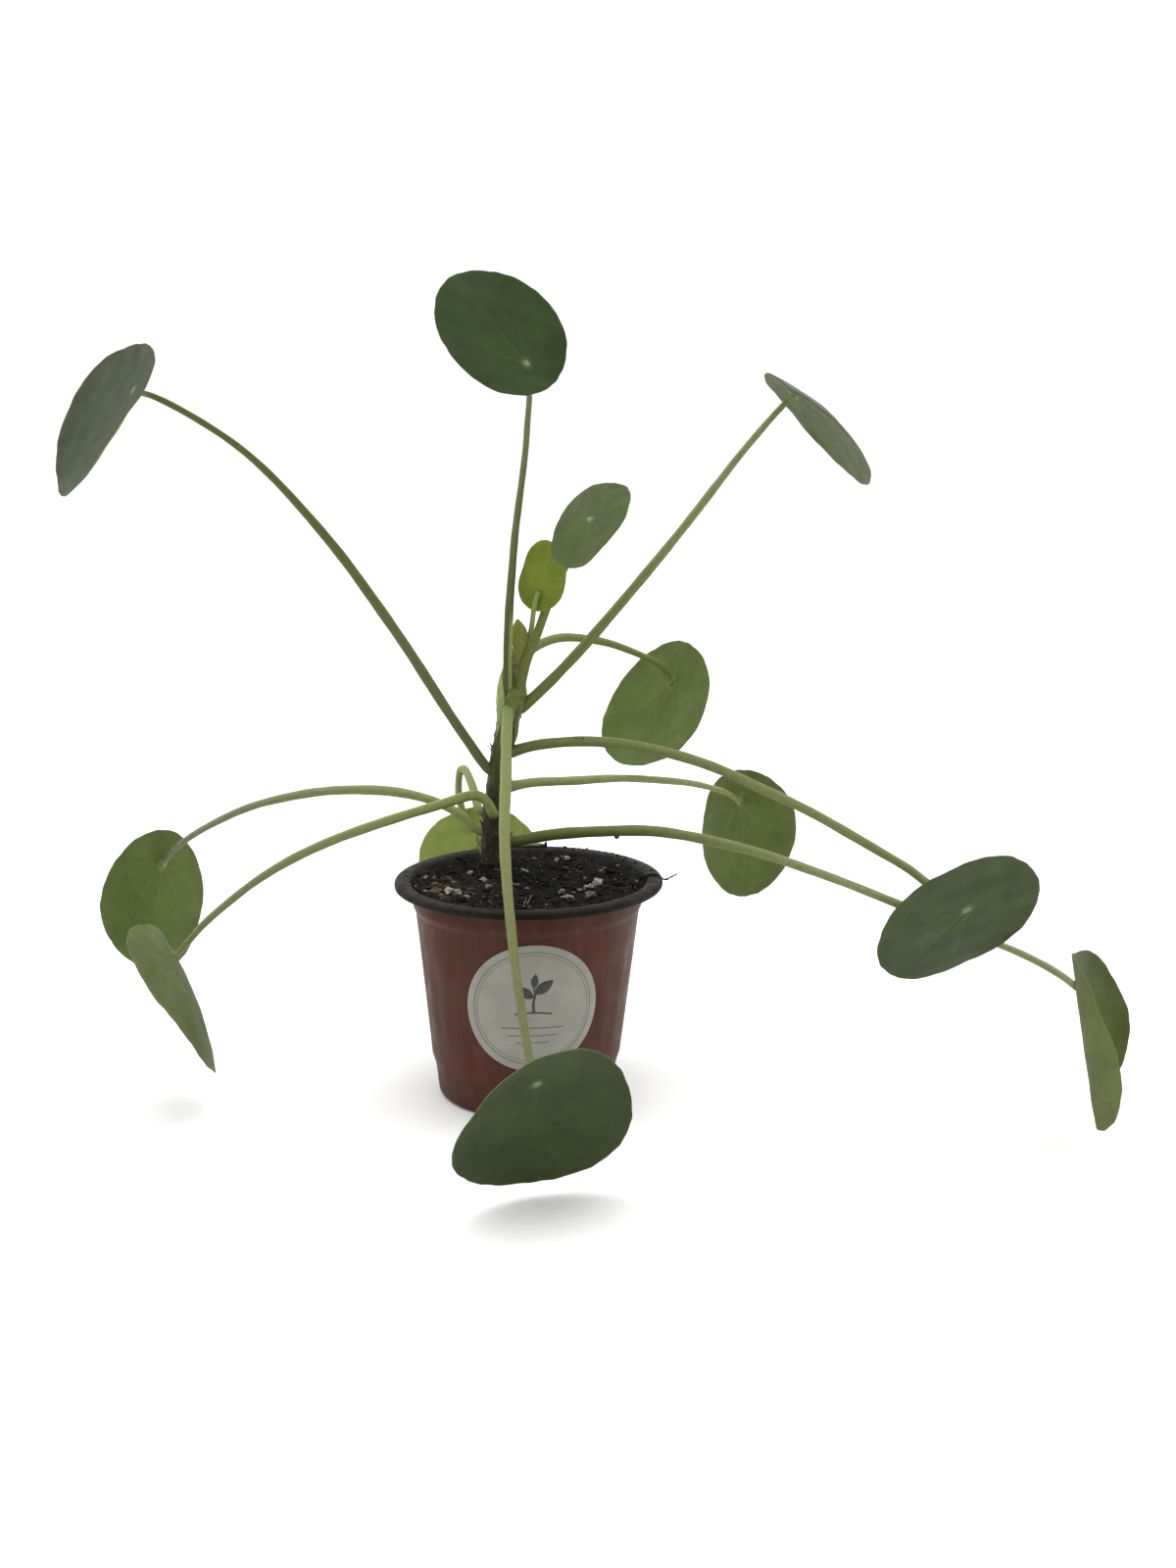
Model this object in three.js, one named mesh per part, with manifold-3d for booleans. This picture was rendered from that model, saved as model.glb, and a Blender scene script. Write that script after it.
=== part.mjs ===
// Potted plant with round leaves on long arching stalks, in a tapered nursery pot.
// Millimetres, +Z up. X runs across the widest spread of the leaves and +Y points
// to the back. The origin is the middle of the pot's underside, on the table.
import * as THREE from "three";
import Module from "manifold-3d";

const wasm = await Module();
wasm.setup();
const { Manifold, Mesh: SolidMesh } = wasm;

// ---------------------------------------------------------------- pot sizes
const POT_H = 83.4;            // table to the top of the lip
const RIM_R = 50.0;            // lip, outside
const LIP_CREST_R = 47.4;      // highest line of the lip
const WALL_TOP_R = 43.2;       // outside of the wall, just under the lip
const STEP_R = 36.0;           // outside of the wall, above the step near the bottom
const STEP_Z = 16.5;
const STEP_LOW_R = 34.5;       // and under the step
const STEP_LOW_Z = 11.0;
const WALL_LOW_R = 33.5;       // outside of the wall, above the bottom corner
const CORNER_Z = 3.6;          // height of the bottom corner's upper end
const FOOT_OUT_R = 31.4;       // ring that the pot stands on
const FOOT_IN_R = 28.2;
const PAD_R = 9.0;             // flat pad in the middle of the underside
const CHANNEL_Z = 4.0;         // raised channel between pad and ring, with the drain holes
const SKIN = 1.0;              // wall thickness
const SHOULDER_Z = 72.0;       // stacking shoulder under the lip
const SHOULDER_OUT = 1.1;
const DRAIN_R = 3.6;
const DRAIN_PCD_R = 18.6;
const DRAIN_COUNT = 6;
const POT_SEGMENTS = 36;

// ------------------------------------------------------- potting mix, label
const SOIL_Z = 80.4;           // level of the mix at the wall
const MOUND = [-10.0, 20.0, 15.0, 3.2]; // mound round the stem: x, y, spread, height
const GAP = 0.32;              // air between touching pieces
const LABEL_R = 24.6;
const LABEL_Z = 44.7;
const LABEL_THICK = 0.25;
const LABEL_TURN = 0.066;      // turn of the label about the pot's axis, radians

// --------------------------------------------------------- plant
const LEAF_THICK = 0.7;
const LEAF_RINGS = [0.36, 0.7, 1.0];
const LEAF_SECTORS = 26;
const STALK_SIDES = 7;
const STEM_SIDES = 9;

// Stem: x, y, z, radius, from the mix to the growing tip.
const STEM = [[-13.6, 22.1, 82.8, 5.8], [-13.5, 21.4, 90.9, 5.4], [-13.2, 20.2, 102.8, 4.9], [-12.6, 19.6, 109.9, 4.6], [-11.5, 18.4, 122.4, 4.2], [-9.3, 17.3, 133.2, 4.1], [-7.5, 16.5, 141.7, 4.2], [-5.7, 15.8, 148.5, 4.1], [-5.1, 15.5, 151.9, 3.8]];
// Stalks: the centre line from the stem to the leaf and the radius at each point.
const PETIOLES = {
  upright: { r: [1.80, 1.72, 1.64, 1.53, 1.42, 1.31, 1.20, 1.11, 1.08, 1.05, 1.03, 1.00], path: [[-8.0, 13.9, 153.2], [-7.7, 12.2, 166.7], [-7.1, 10.4, 179.3], [-6.0, 8.4, 192.6], [-4.8, 6.4, 205.8], [-3.3, 4.8, 218.0], [-1.3, 3.2, 231.4], [0.1, 1.6, 243.1], [0.9, -0.2, 252.3], [1.6, -2.1, 259.0], [1.4, -4.1, 263.8], [0.6, -6.8, 268.6]] },
  upper_left: { r: [1.87, 1.90, 1.92, 1.94, 1.89, 1.84, 1.79, 1.63, 1.45, 1.31, 1.21, 1.15, 1.09, 1.03, 1.00], path: [[-17.2, 16.6, 123.0], [-25.1, 13.5, 135.3], [-32.5, 10.3, 147.8], [-40.2, 6.6, 161.4], [-47.5, 2.9, 174.0], [-55.8, -1.4, 187.4], [-63.6, -5.5, 199.8], [-71.5, -9.4, 211.0], [-80.3, -13.6, 222.5], [-88.4, -17.3, 231.9], [-96.6, -20.8, 240.0], [-104.9, -24.4, 246.7], [-114.5, -28.7, 253.0], [-122.6, -32.6, 257.4], [-127.7, -35.4, 259.1]] },
  upper_right: { r: [2.08, 2.02, 1.95, 1.88, 1.81, 1.75, 1.64, 1.53, 1.40, 1.28, 1.16, 1.06], path: [[0.1, 16.8, 147.4], [9.0, 17.1, 155.8], [18.2, 17.6, 165.4], [27.6, 18.1, 175.8], [37.1, 18.6, 187.0], [46.8, 19.0, 198.5], [56.1, 19.3, 209.8], [64.9, 19.6, 221.1], [74.2, 19.8, 233.2], [82.4, 20.1, 243.4], [90.6, 20.8, 252.7], [97.2, 21.8, 259.5]] },
  young: { r: [1.90, 1.84, 1.77, 1.67, 1.59, 1.53, 1.47, 1.41, 1.38, 1.36], path: [[-3.1, 14.4, 153.2], [-1.4, 13.6, 160.9], [1.2, 12.9, 168.2], [5.0, 12.0, 177.6], [7.4, 10.9, 184.7], [9.8, 9.3, 190.3], [12.6, 6.9, 195.9], [15.7, 3.2, 201.7], [19.9, -2.1, 208.6], [23.4, -7.2, 214.4]] },
  new: { r: [1.00, 1.08, 1.09, 1.07, 1.04, 0.98, 0.92, 0.90, 0.89, 0.88, 0.86], path: [[-4.5, 19.0, 152.6], [-3.3, 19.4, 159.2], [-1.3, 19.1, 166.4], [-0.2, 18.2, 169.8], [0.6, 16.7, 172.7], [1.6, 12.6, 177.5], [2.2, 8.2, 182.4], [2.5, 7.4, 183.9], [2.8, 7.1, 185.1], [3.1, 7.2, 186.5], [3.7, 7.8, 188.2]] },
  bud: { r: [0.85, 0.85, 0.85], path: [[-6.0, 16.7, 152.6], [-5.7, 16.0, 156.4], [-5.0, 15.0, 161.2]] },
  right_back_high: { r: [1.35, 1.35, 1.43, 1.53, 1.73, 1.88, 1.79, 1.70, 1.57, 1.44, 1.31, 1.24, 1.19, 1.13], path: [[-2.2, 21.2, 147.3], [-2.9, 23.9, 155.4], [-2.3, 25.9, 160.3], [-1.0, 27.5, 163.4], [0.8, 28.9, 165.5], [3.5, 30.3, 167.2], [9.2, 32.8, 169.1], [14.7, 34.8, 169.4], [23.3, 37.5, 168.4], [33.3, 40.5, 165.6], [43.7, 43.7, 161.1], [49.4, 45.7, 158.0], [52.4, 47.2, 155.1], [55.1, 49.2, 150.5]] },
  right_back_low: { r: [1.88, 1.83, 1.77, 1.67, 1.55, 1.46, 1.39, 1.31, 1.21, 1.15, 1.09], path: [[-6.9, 19.8, 113.9], [2.0, 24.2, 114.5], [11.7, 28.7, 113.9], [23.6, 34.0, 113.5], [34.6, 38.6, 113.1], [45.3, 42.7, 112.0], [57.2, 47.0, 110.2], [66.6, 50.3, 108.3], [75.0, 53.2, 105.5], [79.8, 55.1, 103.2], [83.8, 57.1, 100.2]] },
  right_front: { r: [2.05, 2.02, 1.99, 1.96, 1.93, 1.91, 1.88, 1.86, 1.83, 1.77, 1.72, 1.66, 1.59, 1.55, 1.50, 1.45], path: [[-4.3, 16.4, 128.7], [4.6, 14.0, 131.2], [15.5, 10.8, 132.8], [26.7, 7.3, 133.3], [38.2, 3.4, 132.8], [49.9, -0.8, 131.1], [61.6, -5.2, 128.5], [72.9, -9.6, 124.8], [84.6, -14.3, 120.1], [97.3, -19.0, 114.8], [108.6, -23.1, 109.4], [121.8, -28.0, 102.4], [133.1, -32.6, 96.3], [139.7, -36.1, 92.1], [146.4, -40.6, 87.6], [153.1, -45.7, 84.3]] },
  far_right: { r: [2.25, 2.19, 2.12, 2.05, 1.94, 1.81, 1.68, 1.59, 1.55, 1.52, 1.47, 1.41, 1.38, 1.37, 1.35, 1.34, 1.32, 1.30], path: [[-6.4, 20.3, 92.0], [11.3, 16.1, 95.9], [30.9, 10.5, 98.3], [48.7, 4.7, 99.5], [64.4, -1.8, 98.2], [81.0, -10.5, 96.1], [97.2, -21.3, 93.2], [112.1, -31.8, 89.8], [121.5, -36.2, 86.9], [129.6, -37.5, 83.8], [139.4, -36.0, 79.6], [154.9, -30.0, 72.1], [166.5, -26.2, 66.6], [173.6, -26.1, 63.7], [179.4, -28.1, 61.5], [184.7, -32.5, 59.6], [189.4, -39.6, 57.9], [191.8, -47.3, 57.0]] },
  left_back: { r: [1.60, 1.66, 1.71, 1.82, 1.92, 1.92, 1.85, 1.79, 1.68, 1.57, 1.47, 1.36, 1.28, 1.21, 1.16], path: [[-20.4, 20.9, 96.1], [-27.1, 23.8, 101.5], [-33.6, 25.9, 104.8], [-41.6, 28.2, 107.4], [-51.4, 30.7, 109.1], [-62.1, 33.3, 109.5], [-74.7, 36.1, 109.0], [-86.4, 38.7, 107.4], [-99.2, 41.4, 104.6], [-110.9, 43.7, 101.2], [-121.3, 45.6, 96.8], [-132.6, 47.6, 90.9], [-141.3, 49.3, 85.2], [-147.3, 50.8, 80.0], [-150.9, 52.1, 75.5]] },
  left_front: { r: [1.95, 1.94, 1.93, 1.93, 1.92, 1.91, 1.89, 1.85, 1.82, 1.80, 1.68, 1.55, 1.43, 1.34, 1.27, 1.22], path: [[-14.1, 13.0, 104.8], [-15.2, 12.9, 107.8], [-17.0, 12.6, 110.1], [-18.6, 12.3, 111.3], [-20.2, 11.9, 111.9], [-22.6, 11.3, 111.9], [-31.6, 8.9, 109.7], [-45.2, 6.0, 105.9], [-60.6, 3.2, 101.3], [-74.4, 0.8, 96.5], [-86.8, -1.4, 91.2], [-97.8, -3.6, 85.1], [-108.3, -6.0, 77.7], [-118.8, -8.6, 69.2], [-125.9, -10.6, 61.8], [-130.8, -11.7, 56.2]] },
  behind_pot: { r: [1.70, 1.61, 1.57, 1.55, 1.55, 1.54, 1.54, 1.53, 1.50, 1.50, 1.47, 1.34], path: [[-19.7, 22.6, 103.8], [-23.5, 34.7, 111.4], [-25.9, 40.8, 115.2], [-26.8, 42.4, 116.0], [-27.4, 43.4, 116.1], [-28.0, 44.2, 115.9], [-28.5, 45.1, 115.4], [-29.0, 46.1, 114.3], [-29.8, 49.3, 109.6], [-30.2, 54.1, 102.3], [-29.3, 59.5, 95.1], [-28.0, 66.9, 86.9]] },
  front: { r: [2.14, 2.11, 2.08, 2.03, 1.97, 1.90, 1.82, 1.70, 1.58, 1.49, 1.44, 1.39, 1.35], path: [[-7.9, 10.2, 142.2], [-8.0, 2.0, 133.1], [-7.8, -7.2, 123.3], [-7.8, -17.1, 113.5], [-7.5, -26.7, 104.5], [-6.6, -36.0, 96.0], [-5.3, -46.6, 87.0], [-3.8, -57.0, 78.6], [-2.2, -67.9, 70.3], [-0.4, -78.5, 62.9], [1.6, -89.6, 55.8], [3.5, -99.6, 50.1], [5.8, -109.0, 45.5]] },
};
// Blades: where the stalk meets the blade, top side normal, direction of the tip,
// radius, how far the stalk sits off centre (of the radius), bend across, along
// and twisted (1/mm), and the lobes of the outline.
const LEAVES = {
  upright: { at: [0.8, -8.0, 269.8], normal: [0.475, -0.739, 0.477], tip: [-0.643, 0.078, 0.762], r: 25.2, off: 0.54, bend: [-0.0035, -0.0003, -0.0001], lobes: [-0.001, -0.013, 0.007, -0.006] },
  upper_left: { at: [-128.8, -36.0, 259.6], normal: [-0.761, -0.449, 0.468], tip: [-0.644, 0.439, -0.627], r: 29.4, off: 0.55, bend: [-0.0105, -0.0056, -0.0026], lobes: [0.002, 0.005, -0.037, -0.010] },
  upper_right: { at: [97.9, 22.0, 260.5], normal: [0.549, 0.129, 0.826], tip: [0.795, -0.383, -0.470], r: 27.1, off: 0.60, bend: [0.0133, 0.0125, -0.0014], lobes: [0.004, -0.037, -0.028, -0.000, 0.001, -0.007, 0.001, -0.006, 0.007, -0.001, -0.003, -0.001] },
  young: { at: [23.6, -9.0, 216.3], normal: [-0.640, -0.506, 0.578], tip: [-0.616, -0.112, -0.780], r: 18.2, off: 0.10, bend: [-0.0005, 0.0071, -0.0002], lobes: [-0.007, -0.004, 0.010, -0.016, -0.003, 0.022, -0.012, 0.001, -0.001, 0.005, 0.002, -0.001] },
  new: { at: [4.4, 9.0, 188.9], normal: [0.458, 0.889, 0.019], tip: [0.261, -0.155, 0.953], r: 11.6, off: 0.54, bend: [0.0060, 0.0104, -0.0089], lobes: [0.171, -0.018, 0.010, 0.021] },
  right_back_high: { at: [56.0, 50.0, 149.6], normal: [0.738, 0.568, -0.363], tip: [-0.334, -0.159, -0.929], r: 27.6, off: 0.39, bend: [0.0093, 0.0135, -0.0018], lobes: [0.011, -0.012, -0.002, -0.001] },
  right_back_low: { at: [85.0, 58.0, 99.6], normal: [0.759, 0.649, -0.048], tip: [0.120, -0.212, -0.970], r: 26.5, off: 0.48, bend: [-0.0060, 0.0066, 0.0003], lobes: [-0.020, -0.014, 0.006, 0.002] },
  right_front: { at: [154.1, -47.0, 83.6], normal: [0.311, -0.784, -0.537], tip: [-0.597, 0.279, -0.752], r: 30.8, off: 0.15, bend: [-0.0006, -0.0012, -0.0006], lobes: [0.008, 0.007, 0.010, 0.011] },
  far_right: { at: [192.9, -50.0, 57.1], normal: [0.925, -0.341, 0.168], tip: [0.161, -0.049, -0.986], r: 31.1, off: 0.62, bend: [-0.0305, -0.0010, 0.0003], lobes: [0.016, 0.010, -0.023, 0.028, -0.010, -0.013, 0.012, 0.011, -0.013, -0.012, 0.009, 0.001] },
  left_back: { at: [-152.4, 53.0, 74.3], normal: [-0.869, 0.495, -0.032], tip: [-0.136, -0.301, -0.944], r: 28.5, off: 0.51, bend: [-0.0038, 0.0053, 0.0006], lobes: [0.006, -0.011, -0.010, 0.001] },
  left_front: { at: [-131.8, -12.0, 55.6], normal: [-0.840, -0.249, -0.482], tip: [0.542, -0.415, -0.731], r: 30.4, off: 0.49, bend: [-0.0229, -0.0075, -0.0022], lobes: [-0.011, 0.061, 0.029, -0.010, -0.009, -0.011, -0.003, 0.007, -0.006, -0.010, -0.001, 0.008] },
  behind_pot: { at: [-27.6, 70.0, 85.1], normal: [-0.000, 0.909, 0.417], tip: [0.346, 0.391, -0.853], r: 26.7, off: 0.54, bend: [0.0134, 0.0209, -0.0062], lobes: [-0.003, -0.021, 0.016, 0.010] },
  front: { at: [6.2, -110.0, 44.8], normal: [0.403, -0.725, -0.558], tip: [-0.105, 0.569, -0.815], r: 31.3, off: 0.41, bend: [-0.0177, -0.0123, 0.0036], lobes: [-0.021, -0.004, -0.003, -0.010] },
};
// Bud leaf: foot, point, the way its breadth lies, and how far it bows that way.
const BUD = { from: [-4.4, 15.2, 162.0], to: [-4.0, 15.1, 178.3], across: [1, -0.05, 0], bow: 1.1 };

// ---------------------------------------------------------------- materials
const mat = (color, roughness) =>
  new THREE.MeshStandardMaterial({ color, roughness, metalness: 0.0 });
const POT_BROWN = mat(0x5d3a30, 0.55);
const SOIL_DARK = mat(0x25221d, 0.95);
const PAPER = mat(0xb3b1a6, 0.6);
const BARK = mat(0x3c3a2a, 0.8);
const STALK = mat(0x72824a, 0.5);
const LEAF = mat(0x43523a, 0.4);
const LEAF_YOUNG = mat(0x74883a, 0.45);

const group = new THREE.Group();
group.name = "potted_plant";

function add(name, geometry, material) {
  const mesh = new THREE.Mesh(geometry, material);
  mesh.name = name;
  group.add(mesh);
  return mesh;
}

function solidGeometry(points, faces) {
  const g = new THREE.BufferGeometry();
  g.setAttribute("position", new THREE.Float32BufferAttribute(points.flat(), 3));
  g.setIndex(faces.flat());
  g.computeVertexNormals();
  return g;
}

const V = (a) => new THREE.Vector3(a[0], a[1], a[2]);

// A round bar through given points, closed by a flat cap at each end.
function bar(path, radii, sides) {
  const pts = path.map(V);
  const n = pts.length;
  const points = [];
  const faces = [];
  const tangent = (i) =>
    pts[Math.min(i + 1, n - 1)].clone().sub(pts[Math.max(i - 1, 0)]).normalize();
  let side = new THREE.Vector3(0.31, -0.92, 0.23);
  for (let i = 0; i < n; i++) {
    const t = tangent(i);
    side = side.clone().addScaledVector(t, -side.dot(t)).normalize();
    const other = new THREE.Vector3().crossVectors(t, side);
    for (let k = 0; k < sides; k++) {
      const a = (2 * Math.PI * k) / sides;
      const p = pts[i].clone()
        .addScaledVector(side, radii[i] * Math.cos(a))
        .addScaledVector(other, radii[i] * Math.sin(a));
      points.push([p.x, p.y, p.z]);
    }
  }
  for (let i = 0; i < n - 1; i++)
    for (let k = 0; k < sides; k++) {
      const a = i * sides + k, b = i * sides + ((k + 1) % sides);
      const c = a + sides, d = b + sides;
      faces.push([a, b, d], [a, d, c]);
    }
  const low = points.push([pts[0].x, pts[0].y, pts[0].z]) - 1;
  const top = points.push([pts[n - 1].x, pts[n - 1].y, pts[n - 1].z]) - 1;
  const last = (n - 1) * sides;
  for (let k = 0; k < sides; k++) {
    faces.push([low, (k + 1) % sides, k]);
    faces.push([top, last + k, last + ((k + 1) % sides)]);
  }
  return solidGeometry(points, faces);
}

// A leaf blade: a lobed disc whose stalk meets it off centre, bent two ways.
function blade(leaf) {
  const at = V(leaf.at);
  const n = V(leaf.normal).normalize();
  const t = V(leaf.tip);
  t.addScaledVector(n, -t.dot(n)).normalize();
  const b = new THREE.Vector3().crossVectors(t, n);
  const [kb, kt, kxy] = leaf.bend;
  const arc = (k, s) => (Math.abs(k) < 1e-6 ? s : Math.sin(k * s) / k);
  const drop = (k, s) => (Math.abs(k) < 1e-6 ? 0 : (1 - Math.cos(k * s)) / k);
  const place = (x, y, lift) => {
    const px = arc(kb, x), py = arc(kt, y);
    const pw = -drop(kb, x) - drop(kt, y) - kxy * x * y;
    const dx = new THREE.Vector3(Math.cos(kb * x), 0, -Math.sin(kb * x) - kxy * y);
    const dy = new THREE.Vector3(0, Math.cos(kt * y), -Math.sin(kt * y) - kxy * x);
    const m = new THREE.Vector3().crossVectors(dx, dy).normalize().multiplyScalar(lift);
    const p = at.clone()
      .addScaledVector(b, px + m.x)
      .addScaledVector(t, py + m.y)
      .addScaledVector(n, pw + m.z);
    return [p.x, p.y, p.z];
  };
  const points = [];
  const faces = [];
  for (const lift of [LEAF_THICK / 2, -LEAF_THICK / 2]) {
    points.push(place(0, 0, lift));
    for (const s of LEAF_RINGS)
      for (let k = 0; k < LEAF_SECTORS; k++) {
        const f = (2 * Math.PI * k) / LEAF_SECTORS;
        let swell = 1;
        for (let i = 0; i < leaf.lobes.length; i += 2) {
          const waves = 2 + i / 2;
          swell += leaf.lobes[i] * Math.cos(waves * f) + leaf.lobes[i + 1] * Math.sin(waves * f);
        }
        const r = leaf.r * swell;
        points.push(place(s * r * Math.sin(f), s * (leaf.off * leaf.r + r * Math.cos(f)), lift));
      }
  }
  const half = 1 + LEAF_RINGS.length * LEAF_SECTORS;
  const id = (layer, ring, k) => layer * half + 1 + ring * LEAF_SECTORS + (k % LEAF_SECTORS);
  for (let k = 0; k < LEAF_SECTORS; k++) {
    faces.push([0, id(0, 0, k + 1), id(0, 0, k)]);
    faces.push([half, id(1, 0, k), id(1, 0, k + 1)]);
    for (let r = 0; r < LEAF_RINGS.length - 1; r++) {
      faces.push([id(0, r, k), id(0, r, k + 1), id(0, r + 1, k + 1)]);
      faces.push([id(0, r, k), id(0, r + 1, k + 1), id(0, r + 1, k)]);
      faces.push([id(1, r, k), id(1, r + 1, k + 1), id(1, r, k + 1)]);
      faces.push([id(1, r, k), id(1, r + 1, k), id(1, r + 1, k + 1)]);
    }
    const e = LEAF_RINGS.length - 1;
    faces.push([id(0, e, k), id(0, e, k + 1), id(1, e, k + 1)]);
    faces.push([id(0, e, k), id(1, e, k + 1), id(1, e, k)]);
  }
  return solidGeometry(points, faces);
}

// ---------------------------------------------------------------- the pot
const WALL = [[CORNER_Z, WALL_LOW_R], [STEP_LOW_Z, STEP_LOW_R], [STEP_Z, STEP_R], [SHOULDER_Z, WALL_TOP_R - SHOULDER_OUT]];
const wallR = (z) => {
  let i = 0;
  while (i < WALL.length - 2 && z > WALL[i + 1][0]) i++;
  const [z0, r0] = WALL[i], [z1, r1] = WALL[i + 1];
  return r0 + ((r1 - r0) * (z - z0)) / (z1 - z0);
};
const outside = [
  [0, 0], [PAD_R, 0], [PAD_R + 2.4, CHANNEL_Z], [FOOT_IN_R - 2.4, CHANNEL_Z], [FOOT_IN_R, 0],
  [FOOT_OUT_R, 0], [WALL_LOW_R - 0.6, 1.2], [WALL_LOW_R, CORNER_Z],
  [STEP_LOW_R, STEP_LOW_Z], [STEP_R, STEP_Z], [wallR(44), 44], [wallR(SHOULDER_Z), SHOULDER_Z],
  [WALL_TOP_R, SHOULDER_Z + 2.2], [WALL_TOP_R + 0.3, POT_H - 3.8],
  [WALL_TOP_R + 1.4, POT_H - 2.3], [RIM_R - 1.0, POT_H - 2.6], [RIM_R, POT_H - 2.4],
  [RIM_R, POT_H - 1.1], [RIM_R - 0.7, POT_H - 0.5], [LIP_CREST_R, POT_H],
];
const inside = [
  [LIP_CREST_R - 2.2, POT_H - 0.25], [WALL_TOP_R + 0.5, POT_H - 1.2],
  [WALL_TOP_R - 0.7, POT_H - 3.6], [WALL_TOP_R - SKIN, SHOULDER_Z + 2.2],
  [wallR(SHOULDER_Z) - SKIN, SHOULDER_Z - 0.2], [wallR(44) - SKIN, 44], [STEP_R - SKIN, STEP_Z + 0.2],
  [STEP_LOW_R - SKIN, STEP_LOW_Z + 0.3], [WALL_LOW_R - SKIN, CORNER_Z + 0.3], [WALL_LOW_R - 1.9, 1.6],
  [FOOT_OUT_R - 0.7, SKIN], [FOOT_IN_R + 0.6, SKIN],
  [FOOT_IN_R - 1.9, CHANNEL_Z + SKIN], [PAD_R + 1.9, CHANNEL_Z + SKIN], [PAD_R - 0.6, SKIN], [0, SKIN],
];

// Full turn of a profile that starts and ends on the axis, low end first.
function turned(profile, segments) {
  const points = [];
  const faces = [];
  const rows = profile.slice(1, -1);
  const low = points.push([0, 0, profile[0][1]]) - 1;
  const top = points.push([0, 0, profile[profile.length - 1][1]]) - 1;
  const base = points.length;
  for (const [r, z] of rows)
    for (let k = 0; k < segments; k++) {
      const a = (2 * Math.PI * k) / segments;
      points.push([r * Math.cos(a), r * Math.sin(a), z]);
    }
  const id = (row, k) => base + row * segments + (k % segments);
  for (let k = 0; k < segments; k++) {
    faces.push([low, id(0, k + 1), id(0, k)]);
    for (let r = 0; r < rows.length - 1; r++) {
      faces.push([id(r, k), id(r, k + 1), id(r + 1, k + 1)]);
      faces.push([id(r, k), id(r + 1, k + 1), id(r + 1, k)]);
    }
    faces.push([top, id(rows.length - 1, k), id(rows.length - 1, k + 1)]);
  }
  return solidGeometry(points, faces);
}

function toSolid(geometry) {
  const mesh = new SolidMesh({
    numProp: 3,
    vertProperties: new Float32Array(geometry.attributes.position.array),
    triVerts: new Uint32Array(geometry.index.array),
  });
  return new Manifold(mesh);
}

function toGeometry(solid) {
  const m = solid.getMesh();
  const g = new THREE.BufferGeometry();
  g.setAttribute("position", new THREE.BufferAttribute(new Float32Array(m.vertProperties), 3));
  g.setIndex(Array.from(m.triVerts));
  g.computeVertexNormals();
  return g;
}

let pot = toSolid(turned([...outside, ...inside], POT_SEGMENTS));
for (let i = 0; i < DRAIN_COUNT; i++) {
  const a = (2 * Math.PI * (i + 0.5)) / DRAIN_COUNT;
  const hole = Manifold.cylinder(6, DRAIN_R, DRAIN_R, 14, false)
    .translate([DRAIN_PCD_R * Math.cos(a), DRAIN_PCD_R * Math.sin(a), CHANNEL_Z - 2.5]);
  pot = pot.subtract(hole);
}
add("pot", toGeometry(pot), POT_BROWN);

// ---------------------------------------------------------- potting mix
const soilTop = (x, y) => {
  const d2 = (x - MOUND[0]) ** 2 + (y - MOUND[1]) ** 2;
  const lumps = 0.45 * Math.sin(0.31 * x + 0.7) * Math.cos(0.27 * y - 0.4)
    + 0.25 * Math.sin(0.53 * y + 0.21 * x);
  return SOIL_Z + MOUND[3] * Math.exp(-d2 / (MOUND[2] * MOUND[2])) + lumps;
};
function soilGeometry() {
  const segments = POT_SEGMENTS;
  const floor = CHANNEL_Z + SKIN + GAP;
  const rows = [
    [wallR(floor) - SKIN - GAP, floor], [STEP_LOW_R - SKIN - GAP, STEP_LOW_Z],
    [STEP_R - SKIN - GAP, STEP_Z + 0.4], [wallR(44) - SKIN - GAP, 44],
    [wallR(SHOULDER_Z) - SKIN - GAP, SHOULDER_Z - 0.2], [WALL_TOP_R - SKIN - GAP, SHOULDER_Z + 2.4],
  ];
  const rTop = WALL_TOP_R - SKIN - GAP;
  const rings = [rTop, 33, 24, 15, 7];
  const points = [];
  const faces = [];
  const low = points.push([0, 0, floor]) - 1;
  const base = points.length;
  const turn = (r, k, z) => {
    const a = (2 * Math.PI * k) / segments;
    const x = r * Math.cos(a), y = r * Math.sin(a);
    points.push([x, y, z === null ? soilTop(x, y) : z]);
  };
  for (const [r, z] of rows) for (let k = 0; k < segments; k++) turn(r, k, z);
  for (const r of rings) for (let k = 0; k < segments; k++) turn(r, k, null);
  const count = rows.length + rings.length;
  const top = points.push([0, 0, soilTop(0, 0)]) - 1;
  const id = (row, k) => base + row * segments + (k % segments);
  for (let k = 0; k < segments; k++) {
    faces.push([low, id(0, k + 1), id(0, k)]);
    for (let r = 0; r < count - 1; r++) {
      faces.push([id(r, k), id(r, k + 1), id(r + 1, k + 1)]);
      faces.push([id(r, k), id(r + 1, k + 1), id(r + 1, k)]);
    }
    faces.push([top, id(count - 1, k), id(count - 1, k + 1)]);
  }
  return solidGeometry(points, faces);
}

// The stem runs down into the mix; the mix is cut to leave it free.
const stemFoot = (() => {
  const [a, b] = STEM;
  const s = 14 / (b[2] - a[2]);
  return [a[0] - (b[0] - a[0]) * s * 0.5, a[1] - (b[1] - a[1]) * s * 0.5, a[2] - 14, a[3] + 0.2];
})();
const stemLine = [stemFoot, ...STEM];
const socket = toSolid(bar(
  [[stemFoot[0], stemFoot[1], stemFoot[2] - 0.5], ...STEM.slice(0, 2).map((p) => p.slice(0, 3))],
  [stemFoot[3] + 0.5, STEM[0][3] + 0.5, STEM[1][3] + 0.9], 14));
add("potting_mix", toGeometry(toSolid(soilGeometry()).subtract(socket)), SOIL_DARK);

add("main_stem", bar(stemLine.map((p) => p.slice(0, 3)), stemLine.map((p) => p[3]), STEM_SIDES), BARK);

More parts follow.
